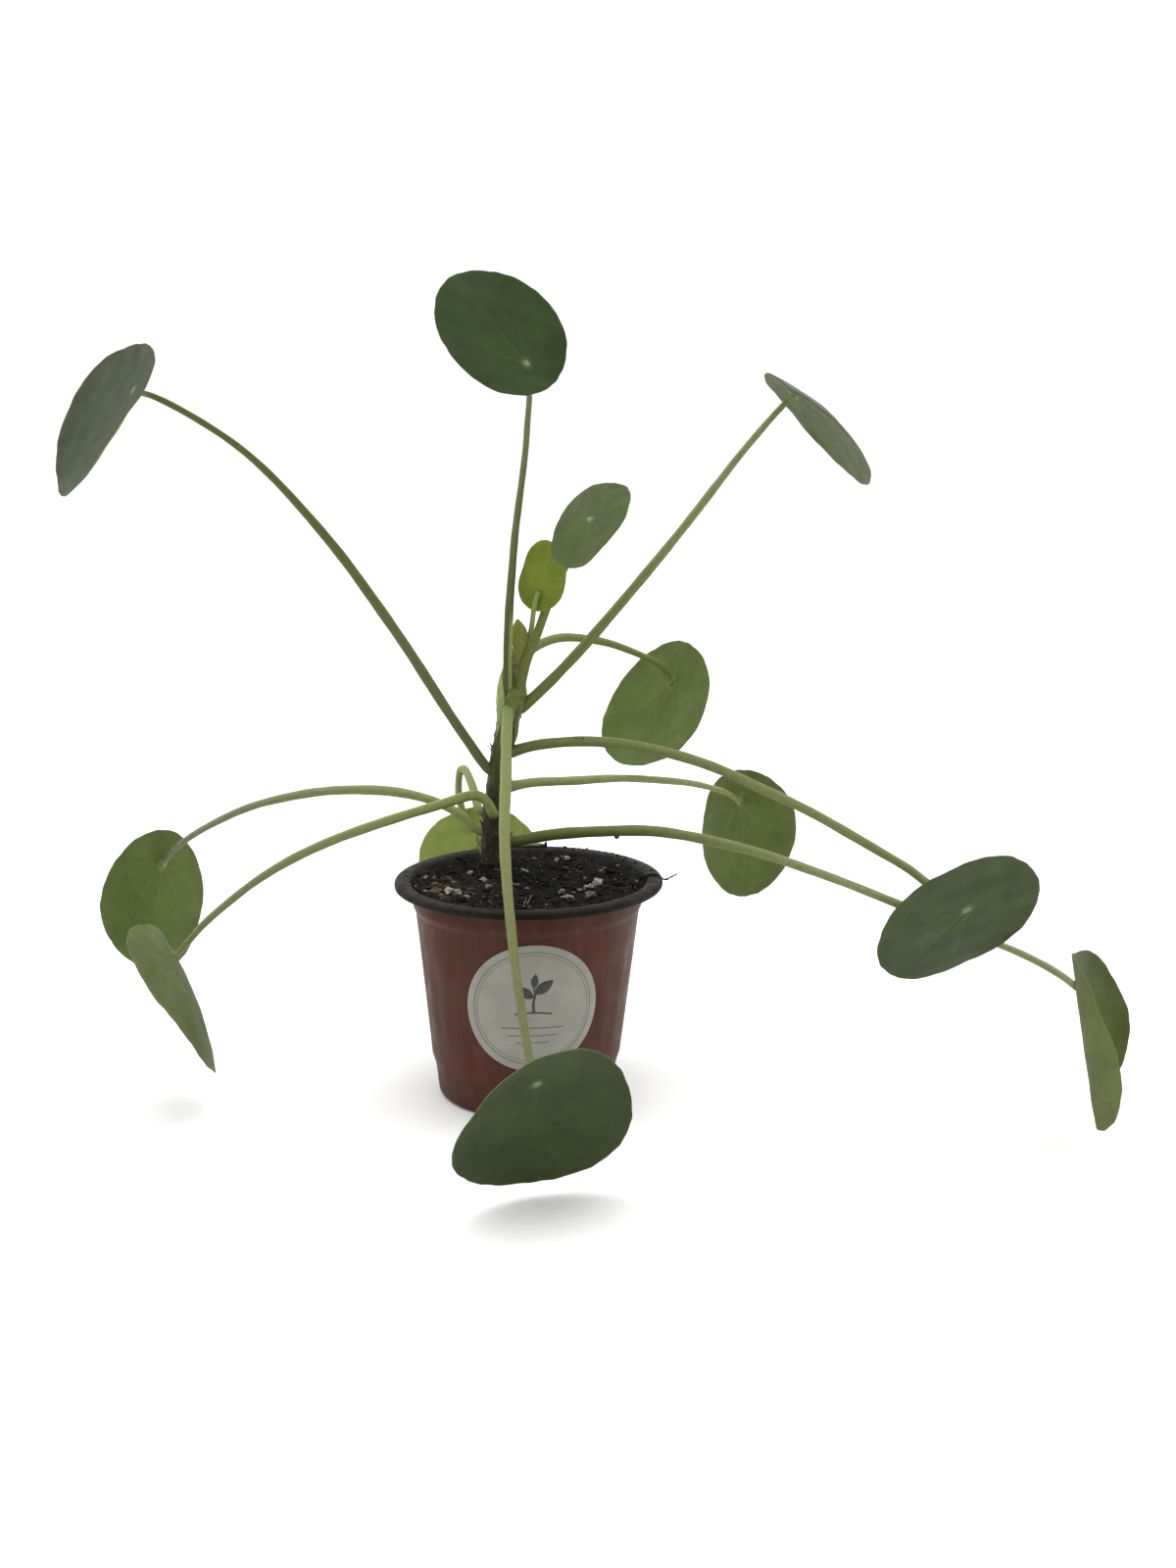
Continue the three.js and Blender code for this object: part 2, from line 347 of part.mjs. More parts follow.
// ---------------------------------------------------------------- label
function labelGeometry() {
  const sectors = 30, rings = [0.28, 0.54, 0.78, 1.0];
  const slope = Math.atan((wallR(60) - wallR(20)) / 40);
  const place = (s, h, lift) => {
    const z = LABEL_Z + h * Math.cos(slope);
    const r = wallR(z) + lift;
    const a = -Math.PI / 2 + LABEL_TURN + s / wallR(z);
    return [r * Math.cos(a), r * Math.sin(a), z - lift * Math.sin(slope)];
  };
  const points = [];
  const faces = [];
  for (const lift of [GAP + LABEL_THICK, GAP]) {
    points.push(place(0, 0, lift));
    for (const s of rings)
      for (let k = 0; k < sectors; k++) {
        const f = (2 * Math.PI * k) / sectors;
        points.push(place(s * LABEL_R * Math.cos(f), s * LABEL_R * Math.sin(f), lift));
      }
  }
  const half = 1 + rings.length * sectors;
  const id = (layer, ring, k) => layer * half + 1 + ring * sectors + (k % sectors);
  for (let k = 0; k < sectors; k++) {
    faces.push([0, id(0, 0, k), id(0, 0, k + 1)]);
    faces.push([half, id(1, 0, k + 1), id(1, 0, k)]);
    for (let r = 0; r < rings.length - 1; r++) {
      faces.push([id(0, r, k), id(0, r + 1, k + 1), id(0, r, k + 1)]);
      faces.push([id(0, r, k), id(0, r + 1, k), id(0, r + 1, k + 1)]);
      faces.push([id(1, r, k), id(1, r, k + 1), id(1, r + 1, k + 1)]);
      faces.push([id(1, r, k), id(1, r + 1, k + 1), id(1, r + 1, k)]);
    }
    const e = rings.length - 1;
    faces.push([id(0, e, k), id(1, e, k + 1), id(0, e, k + 1)]);
    faces.push([id(0, e, k), id(1, e, k), id(1, e, k + 1)]);
  }
  return solidGeometry(points, faces);
}
add("label", labelGeometry(), PAPER);

// ---------------------------------------------------------------- stalks
for (const [name, stalk] of Object.entries(PETIOLES)) {
  const radii = stalk.r.map((r) => r * 1.03);
  add("petiole_" + name, bar(stalk.path, radii, STALK_SIDES), STALK);
}

// ---------------------------------------------------------------- leaves
for (const [name, leaf] of Object.entries(LEAVES))
  add("leaf_" + name, blade(leaf), name === "new" || name === "behind_pot" ? LEAF_YOUNG : LEAF);

// Folded bud leaf at the tip, its two halves still pressed together.
function budGeometry() {
  const stations = [[0.0, 0.5, 0.3], [0.12, 1.6, 0.7], [0.32, 2.6, 1.0], [0.58, 3.2, 1.1], [0.8, 2.6, 0.9], [0.94, 1.4, 0.5]];
  const start = V(BUD.from), end = V(BUD.to);
  const axis = end.clone().sub(start);
  const across = V(BUD.across);
  across.addScaledVector(axis, -across.dot(axis) / axis.lengthSq()).normalize();
  const deep = new THREE.Vector3().crossVectors(axis, across).normalize();
  const sides = 12;
  const points = [];
  const faces = [];
  for (const [s, w, d] of stations)
    for (let k = 0; k < sides; k++) {
      const a = (2 * Math.PI * k) / sides;
      const p = start.clone().addScaledVector(axis, s)
        .addScaledVector(across, w * Math.cos(a) + BUD.bow * Math.sin(Math.PI * s))
        .addScaledVector(deep, d * Math.sin(a));
      points.push([p.x, p.y, p.z]);
    }
  const low = points.push([start.x, start.y, start.z]) - 1;
  const top = points.push([end.x, end.y, end.z]) - 1;
  const rows = stations.length;
  for (let k = 0; k < sides; k++) {
    const q = (k + 1) % sides;
    faces.push([low, q, k]);
    for (let r = 0; r < rows - 1; r++) {
      faces.push([r * sides + k, r * sides + q, (r + 1) * sides + q]);
      faces.push([r * sides + k, (r + 1) * sides + q, (r + 1) * sides + k]);
    }
    faces.push([top, (rows - 1) * sides + k, (rows - 1) * sides + q]);
  }
  return solidGeometry(points, faces);
}
add("leaf_bud", budGeometry(), LEAF_YOUNG);

export default group;
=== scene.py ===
# A potted plant: round leaves on long arching stalks, a short stem and a tapered
# two-colour nursery pot filled with potting mix. The tables are in millimetres in
# the part's own frame; meshes are made from them in metres.
import math
import random

import bpy
import numpy as np
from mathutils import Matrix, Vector, noise


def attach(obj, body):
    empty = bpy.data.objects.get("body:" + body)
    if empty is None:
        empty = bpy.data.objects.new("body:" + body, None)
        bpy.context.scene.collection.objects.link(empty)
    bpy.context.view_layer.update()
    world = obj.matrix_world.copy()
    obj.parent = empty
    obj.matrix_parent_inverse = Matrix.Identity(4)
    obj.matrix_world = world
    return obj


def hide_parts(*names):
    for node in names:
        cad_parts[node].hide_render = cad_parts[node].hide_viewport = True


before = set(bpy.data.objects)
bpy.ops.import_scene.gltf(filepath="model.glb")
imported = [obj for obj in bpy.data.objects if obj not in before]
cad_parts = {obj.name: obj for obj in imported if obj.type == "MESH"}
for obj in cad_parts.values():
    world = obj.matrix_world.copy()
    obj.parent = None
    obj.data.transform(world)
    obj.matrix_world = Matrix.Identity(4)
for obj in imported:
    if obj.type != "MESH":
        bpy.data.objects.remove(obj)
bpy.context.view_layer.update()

MM = 0.001

# ------------------------------------------------------------------ camera
CAM_F, CAM_AT, CAM_PITCH = 1647.0, (22.44, -588.1, 237.4), 11.43
scene = bpy.context.scene
cam_data = bpy.data.cameras.new("photo_camera")
cam_data.sensor_width = 36.0
cam_data.lens = 36.0 * CAM_F / 1600.0
cam_data.clip_start, cam_data.clip_end = 0.01, 50.0
camera = bpy.data.objects.new("photo_camera", cam_data)
scene.collection.objects.link(camera)
camera.location = [c * MM for c in CAM_AT]
camera.rotation_euler = (math.radians(90.0 - CAM_PITCH), 0.0, 0.0)
cam_data.shift_x, cam_data.shift_y = -0.5 / 1600.0, 0.5 / 1600.0
scene.camera = camera

# ------------------------------------------------------------------ sizes
POT_H, RIM_R, LIP_CREST_R = 83.4, 50.0, 47.4
WALL_TOP_R, WALL_LOW_R, CORNER_Z = 43.2, 33.5, 3.6
STEP_R, STEP_Z, STEP_LOW_R, STEP_LOW_Z = 36.0, 16.5, 34.5, 11.0
FOOT_OUT_R, FOOT_IN_R, PAD_R, CHANNEL_Z, SKIN = 31.4, 28.2, 9.0, 4.0, 1.0
SHOULDER_Z, SHOULDER_OUT = 72.0, 1.1
DRAIN_R, DRAIN_PCD_R, DRAIN_COUNT = 3.6, 18.6, 6
SOIL_Z, MOUND = 80.4, (-10.0, 20.0, 15.0, 3.2)
LABEL_R, LABEL_Z, LABEL_TURN = 24.6, 44.7, 0.066

STEM = [[-13.6, 22.1, 82.8, 5.8], [-13.5, 21.4, 90.9, 5.4], [-13.2, 20.2, 102.8, 4.9],
        [-12.6, 19.6, 109.9, 4.6], [-11.5, 18.4, 122.4, 4.2], [-9.3, 17.3, 133.2, 4.1],
        [-7.5, 16.5, 141.7, 4.2], [-5.7, 15.8, 148.5, 4.1], [-5.1, 15.5, 151.9, 3.8]]

# Stalks: points x, y, z of the centre line from inside the stem to the blade, and the radius there.
STALKS = {
    "upright": [[-8.0, 13.9, 153.2, 1.80], [-7.8, 12.4, 164.8, 1.73], [-7.3, 10.9, 175.9, 1.66], [-6.6, 9.3, 186.5, 1.59], [-5.5, 7.5, 198.2, 1.48], [-4.4, 5.9, 209.5, 1.38], [-3.0, 4.6, 219.7, 1.30], [-1.3, 3.2, 231.3, 1.20], [-0.0, 1.9, 241.4, 1.12], [0.7, 0.4, 249.7, 1.09], [1.4, -1.3, 256.6, 1.06], [1.6, -2.9, 261.0, 1.04], [1.3, -4.8, 265.0, 1.02], [0.4, -7.3, 269.3, 1.00]],
    "upper_left": [[-16.1, 17.0, 121.4, 1.87], [-23.2, 14.3, 132.3, 1.89], [-30.0, 11.4, 143.5, 1.91], [-36.6, 8.3, 155.1, 1.93], [-43.3, 5.0, 166.9, 1.92], [-50.0, 1.6, 178.1, 1.87], [-57.4, -2.2, 190.0, 1.83], [-64.2, -5.8, 200.7, 1.78], [-71.2, -9.3, 210.6, 1.63], [-79.1, -13.0, 220.9, 1.48], [-86.3, -16.3, 229.6, 1.34], [-93.7, -19.6, 237.4, 1.23], [-100.6, -22.5, 243.4, 1.18], [-108.8, -26.1, 249.3, 1.13], [-117.1, -29.9, 254.5, 1.07], [-123.5, -33.1, 257.8, 1.03], [-128.1, -35.6, 259.2, 1.00]],
    "upper_right": [[-2.5, 16.6, 145.2, 2.10], [5.8, 17.0, 152.6, 2.04], [13.4, 17.4, 160.2, 1.98], [21.6, 17.8, 169.0, 1.92], [29.7, 18.2, 178.3, 1.86], [38.0, 18.7, 188.0, 1.81], [46.4, 19.0, 198.0, 1.75], [54.5, 19.3, 207.9, 1.66], [62.2, 19.5, 217.6, 1.56], [70.2, 19.7, 228.0, 1.46], [77.7, 19.9, 237.7, 1.35], [84.9, 20.3, 246.3, 1.24], [91.9, 20.9, 254.2, 1.14], [97.4, 21.9, 259.8, 1.06]],
    "young": [[-3.1, 14.4, 153.2, 1.90], [-1.7, 13.7, 159.8, 1.84], [0.2, 13.2, 165.6, 1.80], [3.5, 12.4, 173.8, 1.72], [6.0, 11.6, 180.6, 1.64], [7.9, 10.6, 186.0, 1.57], [10.0, 9.2, 190.7, 1.53], [12.3, 7.1, 195.4, 1.48], [14.8, 4.3, 200.2, 1.43], [18.1, 0.2, 205.7, 1.39], [21.8, -4.6, 211.5, 1.37], [24.2, -8.5, 215.8, 1.35]],
    "new": [[-4.5, 19.0, 152.5, 1.00], [-3.5, 19.4, 158.0, 1.06], [-1.7, 19.2, 165.0, 1.10], [-0.7, 18.7, 168.5, 1.08], [0.1, 17.7, 171.0, 1.06], [0.8, 16.0, 173.6, 1.03], [1.7, 11.4, 178.8, 0.97], [2.2, 8.2, 182.4, 0.92], [2.5, 7.5, 183.7, 0.90], [2.7, 7.2, 184.8, 0.89], [2.9, 7.1, 185.9, 0.88], [3.3, 7.4, 187.2, 0.87], [4.0, 8.2, 188.9, 0.85]],
    "bud": [[-6.0, 16.7, 152.5, 0.85], [-5.9, 16.4, 154.4, 0.85], [-5.7, 16.1, 156.4, 0.85], [-5.5, 15.6, 158.3, 0.85], [-5.0, 15.0, 161.2, 0.85]],
    "right_back_high": [[-2.2, 21.2, 147.3, 1.35], [-2.9, 23.6, 154.5, 1.35], [-2.5, 25.5, 159.2, 1.40], [-1.6, 26.9, 162.3, 1.48], [-0.2, 28.2, 164.5, 1.63], [1.6, 29.4, 166.2, 1.81], [4.6, 30.8, 167.7, 1.87], [9.6, 32.9, 169.2, 1.78], [14.4, 34.7, 169.5, 1.70], [21.6, 37.0, 168.7, 1.59], [30.2, 39.6, 166.7, 1.48], [38.6, 42.1, 163.5, 1.37], [47.5, 44.9, 159.3, 1.26], [50.5, 46.1, 157.2, 1.22], [53.0, 47.5, 154.4, 1.18], [55.4, 49.5, 149.9, 1.12]],
    "right_back_low": [[-7.2, 19.7, 113.8, 1.88], [1.0, 23.7, 114.5, 1.83], [7.9, 27.0, 114.2, 1.79], [17.8, 31.4, 113.7, 1.73], [27.7, 35.8, 113.5, 1.62], [36.6, 39.4, 113.0, 1.53], [45.8, 42.9, 111.9, 1.46], [56.0, 46.6, 110.4, 1.39], [64.5, 49.6, 108.8, 1.33], [71.6, 52.0, 106.7, 1.25], [77.3, 54.0, 104.5, 1.18], [80.9, 55.6, 102.5, 1.13], [84.4, 57.4, 99.7, 1.08]],
    "right_front": [[-6.0, 16.8, 128.1, 2.05], [1.9, 14.7, 130.6, 2.03], [11.0, 12.2, 132.2, 2.00], [21.0, 9.1, 133.2, 1.97], [31.6, 5.7, 133.2, 1.95], [41.4, 2.3, 132.4, 1.92], [52.4, -1.7, 130.6, 1.90], [62.7, -5.6, 128.2, 1.88], [72.9, -9.6, 124.9, 1.86], [83.3, -13.8, 120.6, 1.83], [94.8, -18.1, 115.9, 1.78], [104.7, -21.7, 111.4, 1.74], [116.5, -26.0, 105.2, 1.69], [127.7, -30.3, 99.2, 1.62], [135.8, -33.9, 94.8, 1.57], [141.7, -37.4, 90.6, 1.53], [147.6, -41.5, 86.9, 1.49], [153.8, -46.3, 84.1, 1.45]],
    "far_right": [[-6.4, 20.3, 92.0, 2.25], [9.6, 16.5, 95.6, 2.19], [27.1, 11.7, 97.9, 2.13], [44.8, 6.1, 99.4, 2.07], [57.8, 1.1, 98.9, 1.99], [73.8, -6.5, 97.1, 1.87], [87.8, -14.7, 95.0, 1.76], [103.3, -25.8, 91.9, 1.63], [114.8, -33.3, 89.1, 1.58], [122.8, -36.6, 86.5, 1.54], [130.2, -37.5, 83.6, 1.51], [139.1, -36.1, 79.7, 1.47], [152.9, -30.8, 73.0, 1.42], [164.7, -26.6, 67.5, 1.39], [171.7, -25.9, 64.4, 1.37], [177.2, -27.1, 62.3, 1.36], [182.1, -30.0, 60.5, 1.35], [186.9, -35.3, 58.8, 1.33], [190.4, -42.1, 57.5, 1.32], [192.1, -49.7, 56.9, 1.30]],
    "left_back": [[-20.4, 20.9, 96.1, 1.60], [-26.6, 23.6, 101.2, 1.66], [-31.9, 25.4, 104.1, 1.70], [-38.3, 27.3, 106.5, 1.78], [-46.7, 29.5, 108.4, 1.89], [-55.6, 31.7, 109.4, 1.95], [-66.2, 34.2, 109.4, 1.90], [-77.4, 36.7, 108.7, 1.84], [-87.7, 39.0, 107.2, 1.78], [-99.1, 41.4, 104.6, 1.68], [-109.7, 43.5, 101.6, 1.58], [-118.8, 45.1, 98.0, 1.49], [-128.8, 46.9, 93.0, 1.40], [-137.5, 48.5, 87.9, 1.31], [-144.3, 50.0, 82.8, 1.24], [-148.7, 51.2, 78.5, 1.19], [-151.6, 52.5, 74.3, 1.15]],
    "left_front": [[-14.1, 13.0, 104.8, 1.95], [-15.1, 12.9, 107.4, 1.94], [-16.6, 12.7, 109.7, 1.93], [-18.1, 12.4, 111.0, 1.93], [-19.4, 12.1, 111.7, 1.92], [-21.0, 11.7, 112.0, 1.92], [-24.2, 10.8, 111.6, 1.91], [-34.1, 8.3, 108.9, 1.88], [-46.4, 5.8, 105.6, 1.85], [-60.1, 3.3, 101.5, 1.83], [-72.4, 1.2, 97.3, 1.81], [-83.7, -0.8, 92.6, 1.72], [-93.5, -2.8, 87.6, 1.61], [-103.1, -4.8, 81.6, 1.49], [-112.8, -7.1, 74.2, 1.39], [-120.8, -9.1, 67.3, 1.32], [-127.1, -10.9, 60.3, 1.26], [-131.1, -11.8, 56.0, 1.22]],
    "behind_pot": [[-19.7, 22.6, 103.8, 1.70], [-23.1, 33.6, 110.7, 1.62], [-25.5, 40.0, 114.7, 1.57], [-26.5, 41.9, 115.8, 1.56], [-27.2, 43.0, 116.1, 1.55], [-27.6, 43.7, 116.1, 1.55], [-28.1, 44.4, 115.8, 1.54], [-28.6, 45.2, 115.3, 1.53], [-29.0, 46.1, 114.3, 1.53], [-29.7, 48.5, 110.8, 1.50], [-30.2, 53.2, 103.7, 1.50], [-29.7, 57.1, 98.1, 1.50], [-28.6, 63.6, 90.4, 1.40], [-27.6, 69.2, 84.7, 1.30]],
    "front": [[-7.8, 12.3, 144.6, 2.15], [-8.1, 5.0, 136.4, 2.12], [-7.9, -2.7, 128.0, 2.09], [-7.8, -11.1, 119.5, 2.06], [-7.8, -19.5, 111.2, 2.02], [-7.4, -28.1, 103.2, 1.96], [-6.6, -36.2, 95.9, 1.90], [-5.5, -45.5, 87.9, 1.84], [-4.2, -54.5, 80.5, 1.73], [-2.8, -64.1, 73.2, 1.63], [-1.3, -73.4, 66.4, 1.52], [0.4, -82.9, 60.0, 1.47], [2.1, -92.7, 54.0, 1.42], [3.8, -101.0, 49.3, 1.39], [5.9, -109.3, 45.3, 1.35]],
}

# Blades: where the stalk meets the blade, top normal, tip direction, radius, how far
# the stalk sits off centre, bend across/along/twisted (1/mm), outline lobes.
LEAVES = {
    "upright": dict(at=[0.8, -8.0, 269.8], n=[0.475, -0.739, 0.477], t=[-0.643, 0.078, 0.762], r=25.2, off=0.54, bend=[-0.0035, -0.0003, -0.0001], lobes=[-0.001, -0.013, 0.007, -0.006]),
    "upper_left": dict(at=[-128.8, -36.0, 259.6], n=[-0.761, -0.449, 0.468], t=[-0.644, 0.439, -0.627], r=29.4, off=0.55, bend=[-0.0105, -0.0056, -0.0026], lobes=[0.002, 0.005, -0.037, -0.010]),
    "upper_right": dict(at=[97.9, 22.0, 260.5], n=[0.549, 0.129, 0.826], t=[0.795, -0.383, -0.470], r=27.1, off=0.60, bend=[0.0133, 0.0125, -0.0014], lobes=[0.004, -0.037, -0.028, -0.000, 0.001, -0.007, 0.001, -0.006, 0.007, -0.001, -0.003, -0.001]),
    "young": dict(at=[23.6, -9.0, 216.3], n=[-0.640, -0.506, 0.578], t=[-0.616, -0.112, -0.780], r=18.2, off=0.10, bend=[-0.0005, 0.0071, -0.0002], lobes=[-0.007, -0.004, 0.010, -0.016, -0.003, 0.022, -0.012, 0.001, -0.001, 0.005, 0.002, -0.001]),
    "new": dict(at=[4.4, 9.0, 188.9], n=[0.458, 0.889, 0.019], t=[0.261, -0.155, 0.953], r=11.6, off=0.54, bend=[0.0060, 0.0104, -0.0089], lobes=[0.171, -0.018, 0.010, 0.021]),
    "right_back_high": dict(at=[56.0, 50.0, 149.6], n=[0.738, 0.568, -0.363], t=[-0.334, -0.159, -0.929], r=27.6, off=0.39, bend=[0.0093, 0.0135, -0.0018], lobes=[0.011, -0.012, -0.002, -0.001]),
    "right_back_low": dict(at=[85.0, 58.0, 99.6], n=[0.759, 0.649, -0.048], t=[0.120, -0.212, -0.970], r=26.5, off=0.48, bend=[-0.0060, 0.0066, 0.0003], lobes=[-0.020, -0.014, 0.006, 0.002]),
    "right_front": dict(at=[154.1, -47.0, 83.6], n=[0.311, -0.784, -0.537], t=[-0.597, 0.279, -0.752], r=30.8, off=0.15, bend=[-0.0006, -0.0012, -0.0006], lobes=[0.008, 0.007, 0.010, 0.011]),
    "far_right": dict(at=[192.9, -50.0, 57.1], n=[0.925, -0.341, 0.168], t=[0.161, -0.049, -0.986], r=31.1, off=0.62, bend=[-0.0305, -0.0010, 0.0003], lobes=[0.016, 0.010, -0.023, 0.028, -0.010, -0.013, 0.012, 0.011, -0.013, -0.012, 0.009, 0.001]),
    "left_back": dict(at=[-152.4, 53.0, 74.3], n=[-0.869, 0.495, -0.032], t=[-0.136, -0.301, -0.944], r=28.5, off=0.51, bend=[-0.0038, 0.0053, 0.0006], lobes=[0.006, -0.011, -0.010, 0.001]),
    "left_front": dict(at=[-131.8, -12.0, 55.6], n=[-0.840, -0.249, -0.482], t=[0.542, -0.415, -0.731], r=30.4, off=0.49, bend=[-0.0229, -0.0075, -0.0022], lobes=[-0.011, 0.061, 0.029, -0.010, -0.009, -0.011, -0.003, 0.007, -0.006, -0.010, -0.001, 0.008]),
    "behind_pot": dict(at=[-27.6, 70.0, 85.1], n=[-0.000, 0.909, 0.417], t=[0.346, 0.391, -0.853], r=26.7, off=0.54, bend=[0.0134, 0.0209, -0.0062], lobes=[-0.003, -0.021, 0.016, 0.010]),
    "front": dict(at=[6.2, -110.0, 44.8], n=[0.403, -0.725, -0.558], t=[-0.105, 0.569, -0.815], r=31.3, off=0.41, bend=[-0.0177, -0.0123, 0.0036], lobes=[-0.021, -0.004, -0.003, -0.010]),
}
BUD = dict(a=(-4.4, 15.2, 162.0), b=(-4.0, 15.1, 178.3), across=(1, -0.05, 0), bow=1.1)


def lin(hexa):
    out = []
    for i in (0, 2, 4):
        c = int(hexa[i:i + 2], 16) / 255.0
        out.append(c / 12.92 if c <= 0.04045 else ((c + 0.055) / 1.055) ** 2.4)
    return tuple(out)


# Leaf greens: upper side, underside. Besides the real spread between older and younger leaves, each pair is set to how
# light or dark that leaf looks, so the greens also hold painted light and shade: darker greens for leaves in shade,
# paler ones for lit and backlit leaves such as the one behind the pot.
GREEN = {
    "upright": ("2e3e18", "6f7c48"), "upper_left": ("343f21", "6f7c48"),
    "upper_right": ("4a5639", "4c5637"), "young": ("4a582e", "76864c"),
    "new": ("7d8c3a", "798632"), "right_back_high": ("5d6e42", "5f6f39"),
    "right_back_low": ("566840", "66743f"), "right_front": ("414d2d", "6a7a48"),
    "far_right": ("495527", "6a7346"), "left_back": ("566840", "606e3a"),
    "left_front": ("4e5b33", "657047"), "behind_pot": ("8a9a4c", "a4b362"),
    "front": ("3c4728", "68764a"),
}
# Stalk greens: at the stem, at the leaf. Each pair is set to how light or dark that stalk looks, so besides the stalk's
# real colour it holds painted light and shade: darker greens for shaded stretches, paler ones for lit stretches.
STALK_GREEN = {
    "upright": ("474f13", "687047"), "upper_left": ("5a653a", "515b24"),
    "upper_right": ("5e6b2d", "7d8555"), "young": ("62682c", "66713c"),
    "new": ("656b3b", "7a8644"), "bud": ("5c5a34", "66642f"),
    "right_back_high": ("8a9258", "6a753b"), "right_back_low": ("88905c", "959a68"),
    "right_front": ("6a7342", "717947"), "far_right": ("636b33", "858c63"),
    "left_back": ("848d50", "757c5c"), "left_front": ("818d4c", "747b52"),
    "behind_pot": ("7c844d", "8a9858"), "front": ("858e54", "626636"),
}


# ------------------------------------------------------------------ helpers
def vec(a):
    return np.asarray(a, float)


def unit(a):
    a = np.asarray(a, float)
    return a / np.linalg.norm(a, axis=-1, keepdims=True)


def smooth(e0, e1, x):
    t = np.clip((np.asarray(x, float) - e0) / (e1 - e0), 0, 1)
    return t * t * (3 - 2 * t)


def noise_at(points, scale, seed=0.0, octaves=1):
    """Smooth noise, about -1..1, at points in millimetres; scale is the feature size."""
    out = np.zeros(len(points))
    amp, s = 1.0, 1.0 / scale
    for o in range(octaves):
        out += amp * np.array([noise.noise(Vector((p[0] * s + seed, p[1] * s - seed, p[2] * s + 0.37 * seed))) for p in points])
        amp *= 0.5
        s *= 2.1
    return out


def make(name, verts, faces, materials, body="root", slot=None, replaces=(), face_mats=None, attrs=None, smooth_shade=True):
    me = bpy.data.meshes.new(name)
    me.from_pydata((np.asarray(verts, float) * MM).tolist(), [], [list(map(int, f)) for f in faces])
    me.validate()
    for m in materials:
        me.materials.append(m)
    if face_mats is not None:
        me.polygons.foreach_set("material_index", np.asarray(face_mats, np.int32))
    me.polygons.foreach_set("use_smooth", np.full(len(me.polygons), smooth_shade))
    for key, val in (attrs or {}).items():
        val = np.asarray(val, float)
        if val.ndim == 2:
            a = me.attributes.new(key, "FLOAT_COLOR", "POINT")
            rgba = np.ones((len(val), 4), np.float32)
            rgba[:, :3] = val
            a.data.foreach_set("color", rgba.ravel())
        else:
            a = me.attributes.new(key, "FLOAT", "POINT")
            a.data.foreach_set("value", val.astype(np.float32))
    me.update()
    ob = bpy.data.objects.new(name, me)
    scene.collection.objects.link(ob)
    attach(ob, body)
    if replaces:
        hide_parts(*replaces)
    return ob


class Pile:
    """Many small closed solids gathered into one mesh."""

    def __init__(self):
        self.v, self.f, self.a, self.n = [], [], {}, 0

    def add(self, verts, faces, **attrs):
        verts = np.asarray(verts, float)
        self.v.append(verts)
        self.f += [[i + self.n for i in f] for f in faces]
        for k, x in attrs.items():
            x = np.asarray(x, float)
            x = np.tile(x, (len(verts), 1)) if x.ndim == 1 and len(x) == 3 else (np.full(len(verts), float(x)) if x.ndim == 0 else x)
            self.a.setdefault(k, []).append(x)
        self.n += len(verts)

    def make(self, name, materials, **kw):
        return make(name, np.vstack(self.v), self.f, materials, attrs={k: np.concatenate(v) for k, v in self.a.items()}, **kw)


def spline(points, step):
    """Catmull-Rom line through points, resampled at about step; columns may hold a radius too."""
    p = vec(points)
    seg = np.linalg.norm(np.diff(p[:, :3], axis=0), axis=1)
    s = np.r_[0, np.cumsum(seg)]
    m = np.zeros_like(p)
    m[1:-1] = (p[2:] - p[:-2]) / (s[2:] - s[:-2])[:, None]
    m[0], m[-1] = (p[1] - p[0]) / seg[0], (p[-1] - p[-2]) / seg[-1]
    n = max(3, int(math.ceil(s[-1] / step)) + 1)
    q = np.linspace(0, s[-1], n)
    i = np.clip(np.searchsorted(s, q, side="right") - 1, 0, len(seg) - 1)
    h = seg[i]
    t = (q - s[i]) / h
    t2, t3 = t * t, t * t * t
    out = ((2 * t3 - 3 * t2 + 1)[:, None] * p[i] + ((t3 - 2 * t2 + t) * h)[:, None] * m[i]
           + (-2 * t3 + 3 * t2)[:, None] * p[i + 1] + ((t3 - t2) * h)[:, None] * m[i + 1])
    return out, q


def frames(line):
    t = unit(np.gradient(line, axis=0))
    side = np.zeros_like(line)
    s = vec((0.31, -0.92, 0.23))
    for i in range(len(line)):
        s = s - t[i] * (s @ t[i])
        s = s / np.linalg.norm(s)
        side[i] = s
    return t, side, np.cross(t, side)


def tube(line, radii, sides, round_ends=(True, True), shape=None):
    """Round bar along a line, closed at both ends by domes. Returns verts, faces, (i, k) grids of station and angle."""
    line, radii = vec(line), vec(radii)
    t, a, b = frames(line)
    th = np.linspace(0, 2 * math.pi, sides, endpoint=False)
    rows = [(line[i], a[i], b[i], radii[i], i) for i in range(len(line))]
    if round_ends[0]:
        rows = [(line[0] - t[0] * radii[0] * d, a[0], b[0], radii[0] * w, 0) for d, w in ((0.55, 0.35), (0.4, 0.72))] + rows
    if round_ends[1]:
        rows += [(line[-1] + t[-1] * radii[-1] * d, a[-1], b[-1], radii[-1] * w, len(line) - 1) for d, w in ((0.4, 0.72), (0.55, 0.35))]
    v, st, an = [], [], []
    for c, s, o, r, i in rows:
        rr = r * (shape(i, th) if shape else 1.0)
        v.append(c + (np.cos(th) * rr)[:, None] * s + (np.sin(th) * rr)[:, None] * o)
        st += [i] * sides
        an += th.tolist()
    n = len(rows)
    f = [[i * sides + k, i * sides + (k + 1) % sides, (i + 1) * sides + (k + 1) % sides, (i + 1) * sides + k] for i in range(n - 1) for k in range(sides)]
    v = np.vstack(v)
    lo, hi = len(v), len(v) + 1
    first, last = rows[0], rows[-1]
    v = np.vstack([v, first[0] - t[0] * first[3] * 0.12, last[0] + t[-1] * last[3] * 0.12])
    st += [0, len(line) - 1]
    an += [0, 0]
    f += [[lo, (k + 1) % sides, k] for k in range(sides)]
    f += [[hi, (n - 1) * sides + k, (n - 1) * sides + (k + 1) % sides] for k in range(sides)]
    return v, f, np.array(st), np.array(an)


